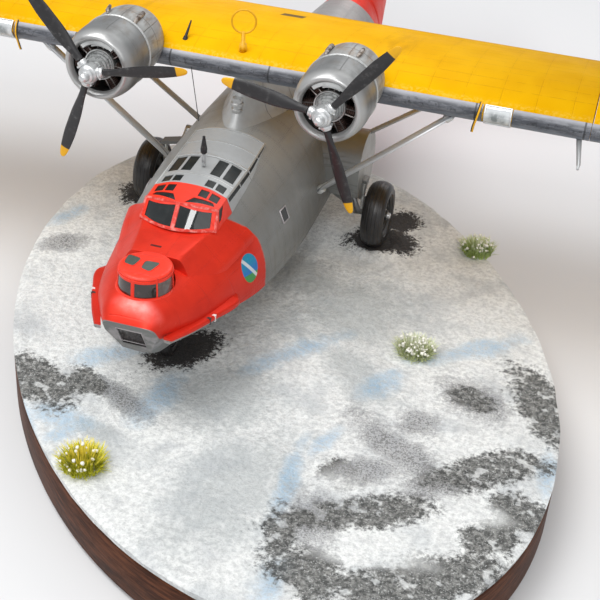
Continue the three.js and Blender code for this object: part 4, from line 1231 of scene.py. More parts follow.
def build_fairing(material):
    """The raised deck behind the bow turret."""
    bm = bmesh.new()
    rings = []
    for y, top_x, top_z, foot_x, foot_z in spline(FAIRING, 1.2):
        port = through([(0, 0, top_z), (top_x - 2.2, 0, top_z - 0.05), (top_x - 0.5, 0, top_z - 0.75),
                        (0.55 * top_x + 0.45 * foot_x, 0, 0.52 * top_z + 0.48 * foot_z - 0.5),
                        (foot_x, 0, foot_z), (foot_x + 0.6, 0, foot_z - 2.0)], 5)
        half = [(point.x, y, point.z) for point in port]
        rings.append(half + [(-x, y, z) for x, y, z in reversed(half[1:])])
    add_loft(bm, rings)
    return new_piece("turret_fairing", bm, material, "silver_paint", 38)


# Columns: y, inner x, outer x, top z, thickness
RAIL = ((8.0, 7.6, 9.3, 21.9, 1.2), (14, 10.4, 12.7, 22.0, 1.2), (22, 13.8, 16.1, 22.1, 1.2),
        (29, 15.9, 18.3, 21.9, 1.1), (31.6, 16.6, 17.2, 21.7, 0.5))


def build_rails(material):
    """A spray rail on both sides of the bow, with two brackets each."""
    for name, side in SIDES.items():
        bm = bmesh.new()
        rings = []
        for y, inner, outer, z, thick in spline(RAIL, 0.8):
            corners = [(inner, z), (outer - 0.35, z - 0.15), (outer, z - 0.5), (outer, z - 0.25 - thick),
                       (outer - 0.3, z - 0.45 - thick), (inner, z - 0.3 - thick)]
            rings.append([(side * x, y, height) for x, height in corners])
        add_loft(bm, rings)
        new_piece(f"spray_rail_{name}", bm, material, "silver_paint", 40)
        marks = bmesh.new()
        for y, long in ((18.6, 0.7), (20.2, 0.7)):
            outer = next(row for row in spline(RAIL, 0.4) if row[0] >= y)[2]
            add_box(marks, side * (outer - 1.4), side * (outer + 0.06), y, y + long, 20.35, 21.98)
        new_piece(f"rail_brackets_{name}", marks, rail_mark_paint(), "silver_paint", 40)


# Limits in x, y and z of the hollows in the hull: cockpit, waist and nose-wheel well
HOLLOWS = ((-8, 8, 37.5, 70, 27, 41), (-30, 30, 154, 172, 23.5, 36.5), (-3.8, 3.8, 23.5, 38.5, 0, 14.5))
# The round recesses in the hull's sides that the main wheels would fold into
WHEEL_RECESS = {"x": 16.6, "y": 105, "z": 24.5, "radius": 9.9}
# Corners of the bomb-aimer's window recess: y, z
BOW_RECESS = ((3.0, 22.6), (6.2, 16.8), (10.8, 16.8), (7.6, 22.6))
# Corners of the rim round it: x, y, z
BOW_RIM = ((-2.9, 3.35, 22.0), (2.9, 3.35, 22.0), (2.9, 6.2, 17.0), (-2.9, 6.2, 17.0))
# Corners of the side windows: y, z
SIDE_WINDOW = ((60.3, 26.3), (63.7, 26.3), (63.7, 29.5), (60.3, 29.5))


def build_hull():
    """The planked hull with its hollows, fairing, rails and windows."""
    material = hull_paint()
    bm = bmesh.new()
    rings = []
    for start, end in zip(STEPS_IN_HULL, STEPS_IN_HULL[1:]):
        rings += [hull_ring(row) for row in spline(HULL[start:end], HULL_SPACING)]
    add_loft(bm, rings)
    boxes, wells, recess = (bmesh.new() for _ in range(3))
    for limits in HOLLOWS:
        add_box(boxes, *limits)
    rows = [(TURRET["well"], TURRET["floor"]), (TURRET["well"], 40)]
    add_turned(wells, rows, (0, TURRET["y"], 0), (0, 0, 1), 64)
    for side in SIDES.values():
        rows = [(WHEEL_RECESS["radius"], WHEEL_RECESS["x"]), (WHEEL_RECESS["radius"], 30)]
        add_turned(wells, rows, (0, WHEEL_RECESS["y"], WHEEL_RECESS["z"]), (side, 0, 0), 64)
    add_loft(recess, [[(x, y, z) for y, z in BOW_RECESS] for x in (-2.9, 2.9)])
    hollowed = carved(bm, canopy_solid(HULL_OPENING, 32.0), boxes, wells, recess)
    shell = new_piece("hull_shell", hollowed, material, "silver_paint", 28, ("hull",))
    build_fairing(material)
    build_rails(material)
    paint("bow_window", glass("bow_glass", (0.012, 0.006, 0.005), 1.0, 0.3))
    build_hull_windows(shell)


def build_hull_windows(shell):
    """The small side windows and the rim of the bow window, set in the planking."""
    outside = BVHTree.FromPolygons([vertex.co.copy() for vertex in shell.data.vertices],
                                   [list(polygon.vertices) for polygon in shell.data.polygons])
    frame_metal = plain_silver("side_window_frame", 0.2, (0.40, 0.37, 0.375))
    dark = glass("side_window_glass", (0.008, 0.008, 0.008), 1.0, 0.2)
    for name, side in SIDES.items():
        rim, pane = bmesh.new(), bmesh.new()
        corners = []
        for y, z in SIDE_WINDOW:
            point, normal = cast(outside, (side * 40, y, z), (-side, 0, 0), 0.04)
            corners.append(point)
        add_slab(pane, corners, normal, 0.09)
        loop = [point + normal * 0.1 for point in corners]
        add_tube(rim, loop + loop[:1], 0.2, 6)
        new_piece(f"side_window_{name}", pane, dark, "clear_glazing", 30)
        new_piece(f"side_window_rim_{name}", rim, frame_metal, "silver_paint", 60)
    bm = bmesh.new()
    rim = [Vector(corner) for corner in BOW_RIM]
    lifted = [cast(outside, (p.x * 1.08, p.y - 8, p.z + 1.0), (0, 1, 0), 0.05)[0] for p in rim]
    add_tube(bm, lifted + lifted[:1], 0.12, 6)
    new_piece("bow_window_rim", bm, frame_metal, "silver_paint", 60)


# Turret

# Columns: degrees from straight ahead towards port, width in mm
TURRET_POSTS = ((-5, 0.95), (46, 0.42), (98, 0.5), (149, 0.9), (200, 0.9), (252, 0.5), (303, 0.5))
# Corners of the panes in the turret's roof: x, y
TURRET_PANES = (
    ((-5.3, 18.9), (-1.7, 18.2), (-2.2, 14.2), (-4.9, 14.9)),
    ((-0.5, 14.2), (2.1, 13.3), (3.1, 18.0), (-0.7, 17.7)),
)


def build_turret():
    red = red_paint("turret_red")
    top, radius = TURRET["top"], TURRET["roof_radius"]
    centre, up = Vector((0, TURRET["y"], 0)), (0, 0, 1)
    bm = bmesh.new()
    dome = ((0.02, top + 0.02), (4.5, top), (radius - 0.45, top - 0.12), (radius, top - 0.42))
    profile = turned_smooth(dome, 5) + [(radius, top - 0.72), (radius - 0.2, top - 0.8), (0.02, top - 0.8)]
    add_turned(bm, profile, centre, up, 72)
    new_piece("turret_cap", bm, red, "red_paint", 30, ("turret_roof",))
    bm = bmesh.new()
    foot = TURRET["floor"] + 0.3
    profile = [(0.02, foot), (6.35, foot), (6.35, 31.0),
               (6.15, top - 1.2), (6.05, top - 0.8), (0.02, top - 0.8)]
    add_turned(bm, profile, centre, up, 72)
    new_piece("turret_glass", bm, turret_glass(), "clear_glazing", 30, ("turret_drum",))
    bm = bmesh.new()
    for degrees, wide in TURRET_POSTS:
        angle = math.radians(degrees)
        out = Vector((math.sin(angle), -math.cos(angle), 0))
        across = Vector((math.cos(angle), math.sin(angle), 0))
        rows = [(centre + out * r + Vector((0, 0, z)), out, across)
                for z, r in ((28.0, 6.35), (31.0, 6.35), (top - 0.7, 6.12))]
        add_ribbon(bm, rows, wide, 0.14)
    for profile in (
            [(6.2, 27.3), (6.95, 27.3), (7.0, 29.0), (6.8, 29.4), (6.5, 29.5), (6.2, 29.5), (6.2, 27.3)],
            [(5.95, top - 1.6), (6.25, top - 1.55), (6.32, top - 0.9), (5.95, top - 0.8), (5.95, top - 1.6)]):
        add_turned(bm, profile, centre, up, 72)
    new_piece("turret_posts", bm, red, "red_paint", 40)
    build_turret_panes(red, top)


def build_turret_panes(red, top):
    """Two rimmed panes in the turret's roof."""
    rims, panes = bmesh.new(), bmesh.new()
    for corners in TURRET_PANES:
        outline = eased(corners)
        add_slab(panes, [(x, y, top - 0.1) for x, y in outline], (0, 0, 1), 0.14)
        rim = [Vector((x, y, top + 0.03)) for x, y in outline]
        add_tube(rims, rim + rim[:1], 0.12, 6)
    new_piece("turret_roof_rims", rims, red, "red_paint", 60)
    pane = glass("roof_pane", (0.055, 0.075, 0.06), 1.0)
    new_piece("turret_roof_panes", panes, pane, "clear_glazing", 30)


# Canopy

# Columns: y at the side, y at the middle, sill x, sill z, edge x, edge z, shoulder x, shoulder z, crown z
CANOPY = (
    (35.4, 31.6, 9.7, 33.4, 9.5, 34.7, 4.8, 35.2, 35.2),
    (38.0, 35.9, 9.9, 35.0, 9.0, 39.1, 4.8, 40.0, 40.3),
    (44.1, 44.1, 10.6, 36.1, 9.2, 39.4, 4.8, 41.0, 41.4),
    (59, 59, 10.9, 38.0, 9.5, 40.2, 5.0, 41.8, 42.4),
    (72.6, 72.6, 10.0, 39.4, 9.4, 41.4, 5.0, 43.0, 43.5),
)
# y where the red front frame ends and the silver rear one begins
CANOPY_SPLIT = 44.1
# mm of frame below the sill
LIP = 0.9
# Insets in mm from the canopy's outside
HULL_OPENING = 0.9
FRAME_INSIDE = 0.45
GLASS_OUTSIDE = 0.14
GLASS_INSIDE = 0.4


def canopy_half(row, inset, foot):
    """The port half of one canopy section, from its foot to the crown."""
    side_y, mid_y, sill_x, sill_z, edge_x, edge_z, shoulder_x, shoulder_z, crown_z = row
    shoulder_y = mid_y + (side_y - mid_y) * 0.25
    over = through([(edge_x - inset, side_y, edge_z - inset),
                    (shoulder_x - inset / 2, shoulder_y, shoulder_z - inset),
                    (0, mid_y, crown_z - inset),
                    (inset / 2 - shoulder_x, shoulder_y, shoulder_z - inset)], 6)[:13]
    low = min(foot, sill_z - LIP)
    return [Vector((sill_x - inset, side_y, low)), Vector((sill_x - inset, side_y, sill_z)), *over]


def canopy_rows():
    """The canopy's sections: straight steps over the windshield and the brow, a curve behind them."""
    rows = []
    for first, second in zip(CANOPY[:2], CANOPY[1:3]):
        rows += [tuple(a + (b - a) * step / 6 for a, b in zip(first, second)) for step in range(6)]
    return rows + spline(CANOPY[2:], 2.4)


def canopy_solid(inset, foot):
    """The canopy as a closed shape, drawn in by an inset and reaching down to a foot height."""
    rings = []
    rows = canopy_rows()
    for index, row in enumerate(rows):
        shift = inset * 1.4 if index == 0 else 0
        back = inset if index == len(rows) - 1 else 0
        half = canopy_half(row, inset, foot)
        ring = half + [Vector((-p.x, p.y, p.z)) for p in reversed(half[:-1])]
        rings.append([(p.x, p.y + shift - back, p.z) for p in ring])
    bm = bmesh.new()
    add_loft(bm, rings)
    return bm


# Columns: front y, rear y, inner x, outer x
ROOF_PANES = (
    (40.3, 43.2, 3.1, 5.3), (40.3, 43.2, 5.8, 8.0), (44.8, 47.8, 3.1, 5.3), (44.8, 47.8, 5.8, 8.0),
    (50.2, 57.6, 2.5, 5.1), (50.2, 57.6, 5.8, 8.5),
)
# Corners of a pane in the brow: x, y
BROW_PANE = ((1.1, 36.8), (8.0, 38.9), (7.2, 40.0), (2.6, 39.4))
# Corners of a windshield pane: x, z, and how far aft it is cut
FRONT_PANE = ((0.55, 35.75, 35.0), (8.3, 35.6, 37.4), (8.0, 38.75, 38.9), (0.55, 39.95, 37.0))
# Corners of the side panes: y, z
SIDE_PANES = (
    ((37.6, 35.8), (39.3, 36.3), (41.9, 39.0), (39.0, 38.75)),
    ((44.7, 38.0), (52.3, 38.5), (52.3, 39.5), (44.7, 39.12)),
    ((52.6, 38.55), (58.9, 39.05), (58.9, 39.85), (52.6, 39.5)),
    ((59.2, 39.1), (65.9, 39.85), (65.9, 40.5), (59.2, 39.9)),
    ((66.2, 39.9), (71.5, 40.5), (71.5, 41.0), (66.2, 40.55)),
)


def pane_cutters():
    """Closed shapes that cut out the roof, brow, front and side panes. No two of one set touch."""
    roof, brow, front, beside = (bmesh.new() for _ in range(4))
    for side in SIDES.values():
        for near, far, inner, outer in ROOF_PANES:
            add_loft(roof, [[(side * inner, near, z), (side * outer, near, z), (side * outer, far, z),
                             (side * inner, far, z)] for z in (38.5, 46)])
        add_loft(brow, [[(side * x, y, z) for x, y in BROW_PANE] for z in (38.9, 46)])
        add_loft(front, [[(side * x, rear if end else 27, z) for x, z, rear in FRONT_PANE] for end in (0, 1)])
        for corners in SIDE_PANES:
            add_loft(beside, [[(side * x, y, z) for y, z in corners] for x in (8.0, 14)])
    return roof, brow, front, beside


def build_canopy():
    red = red_paint("canopy_red")
    silver = plain_silver("canopy_silver", 0.4, (0.40, 0.41, 0.41))
    front = carved(canopy_solid(0, 60), canopy_solid(FRAME_INSIDE, 31), *pane_cutters())
    for bm, part, material, slot in (
            (front, "front", red, "red_paint"), (front.copy(), "rear", silver, "silver_paint")):
        geometry = bm.verts[:] + bm.edges[:] + bm.faces[:]
        bmesh.ops.bisect_plane(bm, geom=geometry, plane_co=at(0, CANOPY_SPLIT, 0), plane_no=(0, 1, 0),
                               clear_outer=part == "front", clear_inner=part == "rear")
        new_piece(f"canopy_{part}_shell", bm, material, slot, 30, (f"canopy_{part}_frame",))
    glazing = carved(canopy_solid(GLASS_OUTSIDE, 60), canopy_solid(GLASS_INSIDE, 31))
    new_piece("canopy_glass", glazing, cockpit_glass(), "clear_glazing", 30, ("cockpit_glazing",))
    build_canopy_ribs()
    build_windshield_frame()
    build_mast_sleeve()
    paint("cockpit_floor_and_seats", interior_paint())
    paint("roof_mast", mast_paint())


def canopy_band(y):
    """Rows for a raised strip across the canopy's roof at one place along it."""
    row = min(canopy_rows(), key=lambda r: abs(r[0] - y))
    arc = [Vector((p.x, y, p.z)) for p in canopy_half(row, 0, 60)[2:]]
    arc += [Vector((-p.x, y, p.z)) for p in reversed(arc[:-1])]
    middle = Vector((0, y, arc[0].z - 4))
    return [(point, point - middle, Vector((0, 1, 0))) for point in arc]


def build_canopy_ribs():
    """Bright strips across the rear canopy's roof and along its edges."""
    bm = bmesh.new()
    for y, wide in ((49.0, 0.4), (58.8, 0.6), (65.8, 0.35), (72.3, 0.55)):
        add_ribbon(bm, canopy_band(y), wide, 0.13)
    for side in SIDES.values():
        rows = [(Vector((side * row[4], row[0], row[5])), Vector((side, 0, 1)), Vector((side, 0, -1)))
                for row in canopy_rows() if row[0] >= CANOPY_SPLIT]
        add_ribbon(bm, rows, 0.45, 0.12)
    new_piece("canopy_ribs", bm, bright_metal("rib_metal", (0.62, 0.63, 0.62), 0.25), "silver_paint", 30)


def build_windshield_frame():
    """Raised strips round the windshield, with a wide one down its middle."""
    bm = bmesh.new()
    foot, top = (canopy_half(row, 0, 60)[2:] for row in CANOPY[:2])
    lean = Vector((0, 0.35, 1))
    for side in SIDES.values():
        base, brow = ([Vector((side * p.x, p.y, p.z)) for p in line] for line in (foot, top))
        for line, rise in ((base, 0.3), (brow, 0.0)):
            lift = Vector((0, 0, rise))
            add_ribbon(bm, [(p + lift, Vector((p.x * 0.09, -1, 0.45)), lean) for p in line], 0.6, 0.15)
        out, across = Vector((side * 0.75, -1, 0.2)), Vector((1, side * 0.75, 0))
        add_ribbon(bm, [(point, out, across) for point in (base[0], brow[0])], 0.7, 0.15)
    add_ribbon(bm, [(line[-1], Vector((0, -1, 0.6)), Vector((1, 0, 0))) for line in (foot, top)], 1.1, 0.18)
    new_piece("windshield_frame", bm, worn_red(), "red_paint", 30)


# Columns: height, radius
MAST_SLEEVE = ((45.6, 0.48), (46.0, 0.82), (46.9, 0.86), (48.2, 0.62), (49.6, 0.42))


def build_mast_sleeve():
    """The tear-shaped black sleeve on the roof mast."""
    bm = bmesh.new()
    spine = [(0, 52.7 - (z - 45.6) * 0.04, z) for z, _ in MAST_SLEEVE]
    add_tube(bm, spine, [radius for _, radius in MAST_SLEEVE], 16)
    new_piece("mast_sleeve", bm, fine_black("mast"), "blade_grey", 50)


# Blisters

def build_blisters():
    """The glazed blisters at the waist with three ribs each."""
    for name, side in SIDES.items():
        dress(f"waist_blister_{name}", glass(f"blister_glass_{name}", (0.05, 0.06, 0.06), 0.35), 60)
        bm = bmesh.new()
        for share in (-0.42, 0.0, 0.42):
            add_ribbon(bm, blister_rib(side, share), 0.7, 0.18)
        new_piece(f"blister_ribs_{name}", bm, plain_silver(f"blister_silver_{name}"), "silver_paint", 40)


def blister_rib(side, share):
    """A rib over the blister at a share of its half length, from sill to sill."""
    rows = []
    ring = math.sqrt(1 - share ** 2)
    for step in range(17):
        angle = math.radians(-76 + 152 * step / 16)
        out = Vector((side * math.cos(angle) / BLISTER["bulge"], share / BLISTER["long"],
                      math.sin(angle) / BLISTER["high"]))
        point = Vector((
            side * (BLISTER["x"] + BLISTER["bulge"] * ring * math.cos(angle)),
            BLISTER["y"] + BLISTER["long"] * share,
            BLISTER["z"] + BLISTER["high"] * ring * math.sin(angle),
        ))
        rows.append((point, out, Vector((0, 1, 0))))
    return rows


# Engines

# Columns: radius, mm aft of the propeller
COWL_OUTSIDE = (
    (6.5, 4.6), (6.9, 3.6), (7.5, 3.2), (8.2, 3.7), (8.9, 5.4), (9.3, 8.5), (9.3, 12.6), (9.1, 15.4),
)
COWL_INSIDE = ((8.6, 15.4), (8.7, 9), (8.2, 6.6), (7.2, 5.6))
NACELLE = (
    (8.4, 15.8), (9.1, 17.6), (9.1, 20.6), (9.0, 23.2), (8.5, 26), (7.6, 28.4), (6.2, 30.8), (4, 32.8),
    (0.05, 34),
)
GEAR_CASE = (
    (0.02, 2.6), (1.5, 2.6), (1.7, 3.0), (2.2, 3.1), (2.25, 3.5), (2.7, 3.7), (2.75, 4.3), (3.1, 4.5),
    (3.15, 5.1), (3.5, 5.4), (3.6, 13.4), (8.2, 13.7), (8.2, 15.3), (0.02, 15.3),
)
HUB = (
    (0.02, -4.7), (0.5, -4.65), (0.95, -4.3), (1.2, -3.7), (1.25, -2.7), (1.75, -2.45), (1.9, -1.9),
    (2.3, -1.5), (2.45, -0.6), (2.45, 0.8), (1.9, 1.3), (1.6, 1.6), (1.6, 2.3), (0.02, 2.3),
)
# Columns: mm aft of the propeller, turn in cylinders
CYLINDER_ROWS = ((8.0, 0.0), (11.2, 0.5))
CYLINDERS = 7
# Columns: radius, chord, thickness, pitch in degrees
BLADE = (
    (3.9, 1.8, 1.7, 44), (6.2, 2.1, 1.5, 38), (9, 2.9, 1.1, 29), (13, 3.5, 0.85, 21), (17.5, 3.5, 0.7, 15),
    (21.5, 2.9, 0.55, 12), (24.2, 2.0, 0.45, 10), (25.1, 1.3, 0.4, 9), (25.4, 0.6, 0.3, 9),
)
# Degrees from port towards straight up
FIRST_BLADE = {"port": 170.2, "starboard": 10.7}
# Unit vector towards the tail
AFT = Vector((0, 1, 0))


def round_prop(side, radius, degrees, aft):
    """A point round an engine: degrees from straight up towards port, mm aft of the propeller."""
    angle = math.radians(degrees)
    x, z = radius * math.sin(angle), radius * math.cos(angle)
    return Vector((side * PROP["x"] + x, PROP["y"] + aft, PROP["z"] + z))


def build_engines():
    for name, side in SIDES.items():
        centre, aft = round_prop(side, 0, 0, 0), (0, 1, 0)
        bm = bmesh.new()
        outside = turned_smooth(COWL_OUTSIDE)
        add_turned(bm, outside + turned_smooth(COWL_INSIDE, 2) + outside[:1], centre, aft, 80)
        new_piece(f"cowl_ring_{name}", bm, cowl_paint(name), "silver_paint", 40, (f"cowl_{name}",))
        bm = bmesh.new()
        add_turned(bm, turned_smooth(NACELLE), centre, aft, 72)
        new_piece(f"nacelle_skin_{name}", bm, nacelle_paint(name), "silver_paint", 40, (f"nacelle_{name}",))
        build_radial(name, side, centre)
        build_engine_trim(name, side)
        build_exhausts(name, side)


def build_radial(name, side, centre):
    """The crankcase and two rows of finned cylinders."""
    bm = bmesh.new()
    add_turned(bm, GEAR_CASE, centre, (0, 1, 0), 40)
    for aft, turn in CYLINDER_ROWS:
        for index in range(CYLINDERS):
            degrees = (index + turn) * 360 / CYLINDERS
            tubes = [((3.0, 7.0), 1.05, 14), ((6.5, 7.3, 7.6), [1.3, 1.3, 0.9], 14)]
            tubes += [((3.85 + 0.4 * fin, 3.85 + 0.4 * fin + 0.13), 1.42, 18) for fin in range(7)]
            for reach, radii, sides in tubes:
                add_tube(bm, [round_prop(side, r, degrees, aft) for r in reach], radii, sides)
    new_piece(f"radial_{name}", bm, engine_paint(name), "engine_dark", 30, (f"engine_{name}",))


def build_engine_trim(name, side):
    """The cowl's rear seam, bright plates in front of the crankcase, and the push rods."""
    bright = bright_metal(f"engine_bright_{name}", (0.66, 0.67, 0.66), 0.3)
    bm = bmesh.new()
    for aft, radius in ((15.6, 9.2), (15.5, 8.95)):
        ring = [round_prop(side, radius, step * 5, aft) for step in range(73)]
        add_tube(bm, ring + ring[1:2], 0.26, 6)
    new_piece(f"cowl_seam_{name}", bm, bright, "silver_paint", 60)
    bm = bmesh.new()
    for radius, aft, start, end, wide in ((5.95, 4.7, -44, 40, 1.15), (4.9, 5.6, -24, 30, 0.45)):
        rows = []
        for degrees in range(start, end + 1, 4):
            point = round_prop(side, radius, degrees, aft)
            rows.append((point, Vector((0, -1, 0.25)), point - round_prop(side, 0, 0, aft)))
        add_ribbon(bm, rows, wide, 0.3)
    ring = [round_prop(side, 3.75, step * 10, 5.6) for step in range(37)]
    add_tube(bm, ring + ring[1:2], 0.22, 6)
    new_piece(f"engine_trim_{name}", bm, bright, "bright_metal", 60)
    bm = bmesh.new()
    for index in range(CYLINDERS):
        degrees = index * 360 / CYLINDERS
        for shift in (-9, 9):
            add_tube(bm, [round_prop(side, 3.5, degrees + shift * 1.3, 6.3),
                          round_prop(side, 7.1, degrees + shift * 0.8, 6.9)], 0.15, 6)
    rods = bright_metal(f"push_rods_{name}", (0.42, 0.38, 0.36), 0.6)
    new_piece(f"push_rods_{name}", bm, rods, "bright_metal", 60)


def build_exhausts(name, side):
    """A stub on the inner shoulder of the nacelle and a small flap on its outer one."""
    bm = bmesh.new()
    path = [round_prop(side, 8.8, -31 * side, 16.6), round_prop(side, 9.5, -30 * side, 17.8),
            round_prop(side, 9.6, -29 * side, 21.6), round_prop(side, 9.2, -29 * side, 22.4)]
    add_tube(bm, through(path, 4), [0.5] * 5 + [0.62] * 6 + [0.5] * 2, 10)
    flap = [round_prop(side, 9.0, 19 * side, 17.4), round_prop(side, 9.7, 20 * side, 18.2),
            round_prop(side, 10.2, 21 * side, 20.4)]
    add_tube(bm, flap, [0.35, 0.6, 0.45], 6)
    new_piece(f"exhaust_stubs_{name}", bm, exhaust_metal(name), "silver_paint", 50)


def blade_section(chord, thick, pitch, radius, direction, centre):
    """One closed blade section: `direction` points along the blade and the chord turns by its pitch."""
    across = AFT.cross(direction)
    turn = math.radians(pitch)
    along_chord = across * -math.cos(turn) - AFT * math.sin(turn)
    out = across * math.sin(turn) - AFT * math.cos(turn)
    return [centre + direction * radius + along_chord * (chord / 2 * math.cos(angle))
            + out * (thick / 2 * math.sin(angle) * (1.0 - 0.25 * math.cos(angle))) for angle in turns(20)]


def add_blade_root(bm, centre, direction):
    """A blade's socket in the hub, its clamp and the clamp's two bolts."""
    for reach, radii in (
            ((0.5, 3.0, 3.3, 3.6), [1.3, 1.3, 1.25, 1.05]), ((2.3, 2.45, 2.85, 3.0), [1.3, 1.5, 1.5, 1.3])):
        add_tube(bm, [centre + direction * r for r in reach], radii, 20)
    for sign in (-1, 1):
        bolt = centre + direction * 2.65 + AFT.cross(direction) * (1.35 * sign)
        add_tube(bm, [bolt + Vector((0, -0.75, 0)), bolt + Vector((0, 0.75, 0))], 0.3, 8)


def build_propellers():
    for name, side in SIDES.items():
        body = f"propeller_{name}"
        centre = round_prop(side, 0, 0, 0)
        paint_blade = blade_paint(name)
        hub = bmesh.new()
        add_turned(hub, HUB, centre, AFT, 40)
        for index in range(3):
            angle = math.radians(FIRST_BLADE[name] - 120 * index)
            direction = Vector((math.cos(angle), 0, math.sin(angle)))
            add_blade_root(hub, centre, direction)
            bm = bmesh.new()
            add_loft(bm, [blade_section(chord, thick, pitch, r, direction, centre)
                          for r, chord, thick, pitch in spline(BLADE, 0.8)])
            new_piece(f"blade_{name}_{index + 1}", bm, paint_blade, "blade_grey", 40,
                      (f"propeller_blade_{name}_{index + 1}",), body)
        metal = bright_metal(f"hub_metal_{name}", (0.66, 0.67, 0.67), 0.35)
        new_piece(f"hub_{name}", hub, metal, "bright_metal", 35, (f"propeller_hub_{name}",), body)


# Wing

# Shares of the chord
WING_THICK = 0.165
WING_CAMBER = 0.016
# Half the span of the centre section
CENTRE_HALF = 89.2
TIP = {"x": 207.2, "y": 79.9, "chord": 41.0}
# Columns: share of the outer panel's span, share of its taper
OUTER_TAPER = ((0, 0), (0.5, 0.44), (0.94, 0.93), (1, 1))


def wing_place(x):
    """Leading edge y and z, and chord, at a span position."""
    span = max(0.0, (abs(x) - CENTRE_HALF - 0.3) / (TIP["x"] - CENTRE_HALF - 0.3))
    taper = 1.0
    for (s0, t0), (s1, t1) in zip(OUTER_TAPER, OUTER_TAPER[1:]):
        if span <= s1:
            taper = t0 + (t1 - t0) * (span - s0) / (s1 - s0)
            break
    y = WING["lead_y"] + (TIP["y"] - WING["lead_y"]) * span
    z = WING["lead_z"] - (y - WING["lead_y"]) * WING["slope"]
    return y, z, WING["chord"] + (TIP["chord"] - WING["chord"]) * taper


def wing_point(x, t, face, lift=0.0):
    """A point on the wing at chord share t, on its upper (1) or lower (-1) face, in mm."""
    y, z, chord = wing_place(x)
    curve = 0.2969 * math.sqrt(t) - 0.126 * t - 0.3516 * t ** 2 + 0.2843 * t ** 3 - 0.1036 * t ** 4
    middle = WING_CAMBER * (1 - (2 * t - 0.8) ** 2 / (0.64 if t < 0.4 else 1.44))
    tilt = math.atan(WING["slope"])
    along = t * chord - (lift if t < 0.002 else lift * max(0.0, 1 - t / 0.03) * 0.8)
    rise = (middle + face * 5 * WING_THICK * curve) * chord + face * lift * min(1.0, t / 0.02)
    return Vector((x, y + along * math.cos(tilt) + rise * math.sin(tilt),
                   z - along * math.sin(tilt) + rise * math.cos(tilt)))


def nose_arc(x, upper, lower, lift, steps=12):
    """Points round the leading edge from a chord share above to one below."""
    above = [wing_point(x, upper * (1 - k / steps) ** 2, 1, lift) for k in range(steps + 1)]
    below = [wing_point(x, lower * (k / steps) ** 2, -1, lift) for k in range(1, steps + 1)]
    return above + below


def add_nose_patch(bm, x0, x1, upper, lower, lift, spacing=3.0):
    """A thin closed cover round the leading edge between two span positions."""
    count = max(1, math.ceil(abs(x1 - x0) / spacing))
    rings = []
    for step in range(count + 1):
        x = x0 + (x1 - x0) * step / count
        outer = nose_arc(x, upper, lower, lift)
        inner = nose_arc(x, upper, lower, -0.25)
        rings.append([tuple(p) for p in outer + inner[::-1]])
    add_loft(bm, rings)


# Shares of the chord covered by the boots, above and below
BOOT_UPPER = 0.018
BOOT_LOWER = 0.085
# Limits in x of a landing light and of the boots
LAMP = (63.5, 69.9)
BOOT_SPANS = ((0.0, 62.9), (70.3, 89.2), (89.3, 201.0))


def build_boots():
    """De-icing boots, landing lights and float guides along the leading edge."""
    dark = boot_rubber()
    bright = bright_metal("lamp_rim", (0.75, 0.76, 0.76), 0.2)
    for name, side in SIDES.items():
        bm = bmesh.new()
        for start, end in BOOT_SPANS:
            add_nose_patch(bm, side * start, side * end, BOOT_UPPER, BOOT_LOWER, 0.12)
        new_piece(f"wing_boots_{name}", bm, dark, "yellow_paint", 40)
        bm = bmesh.new()
        add_nose_patch(bm, side * LAMP[0], side * LAMP[1], BOOT_UPPER * 0.9, BOOT_LOWER, 0.16)
        new_piece(f"landing_light_{name}", bm, lamp_glass(name), "clear_glazing", 40)
        bm = bmesh.new()
        for x in LAMP:
            add_tube(bm, nose_arc(side * x, BOOT_UPPER, BOOT_LOWER, 0.2), 0.22, 6)
        for t, face in ((BOOT_UPPER * 0.9, 1), (BOOT_LOWER * 0.5, -1)):
            add_tube(bm, [wing_point(side * x, t, face, 0.2) for x in LAMP], 0.24, 6)
        new_piece(f"landing_light_rim_{name}", bm, bright, "silver_paint", 60)
        for piece, shift, radius, material, slot in (
                ("float_guide", 0.0, 0.24, yellow_metal(name), "yellow_paint"),
                ("float_guide_edge", -0.34, 0.13, fine_black(name), "blade_grey")):
            bm = bmesh.new()
            arc = [wing_point(side * (62.4 + shift), 0.022, 1, 0.35),
                   wing_point(side * (62.2 + shift), 0.004, 1, 0.4)]
            arc += [Vector((side * (x + shift), y, z))
                    for x, y, z in ((61.9, 75.9, 57.4), (61.4, 76.1, 55.0), (61.2, 76.6, 53.2))]
            add_tube(bm, through(arc, 4), radius, 8)
            new_piece(f"{piece}_{name}", bm, material, slot, 60)


# Columns: height above the deck, front y, rear y, half width
PYLON = (
    (-0.5, 72.9, 143, 11.2), (0.2, 73.3, 142, 10.0), (0.8, 73.9, 140.5, 8.9), (1.8, 74.7, 138, 8.0),
    (3.4, 75.9, 135, 7.3), (6, 77.2, 132, 6.8), (9, 78.4, 130, 6.6), (12, 79.4, 128.6, 6.55),
)
# Height that the pylon's rise is counted from above its flare
PYLON_FOOT = 43.4
# Columns: share of the half width, share of the length
PYLON_SHAPE = (
    (0, 0), (0.14, 0.008), (0.3, 0.04), (0.55, 0.13), (0.82, 0.28), (1, 0.5), (0.84, 0.7), (0.45, 0.92),
    (0.14, 0.99), (0, 1),
)


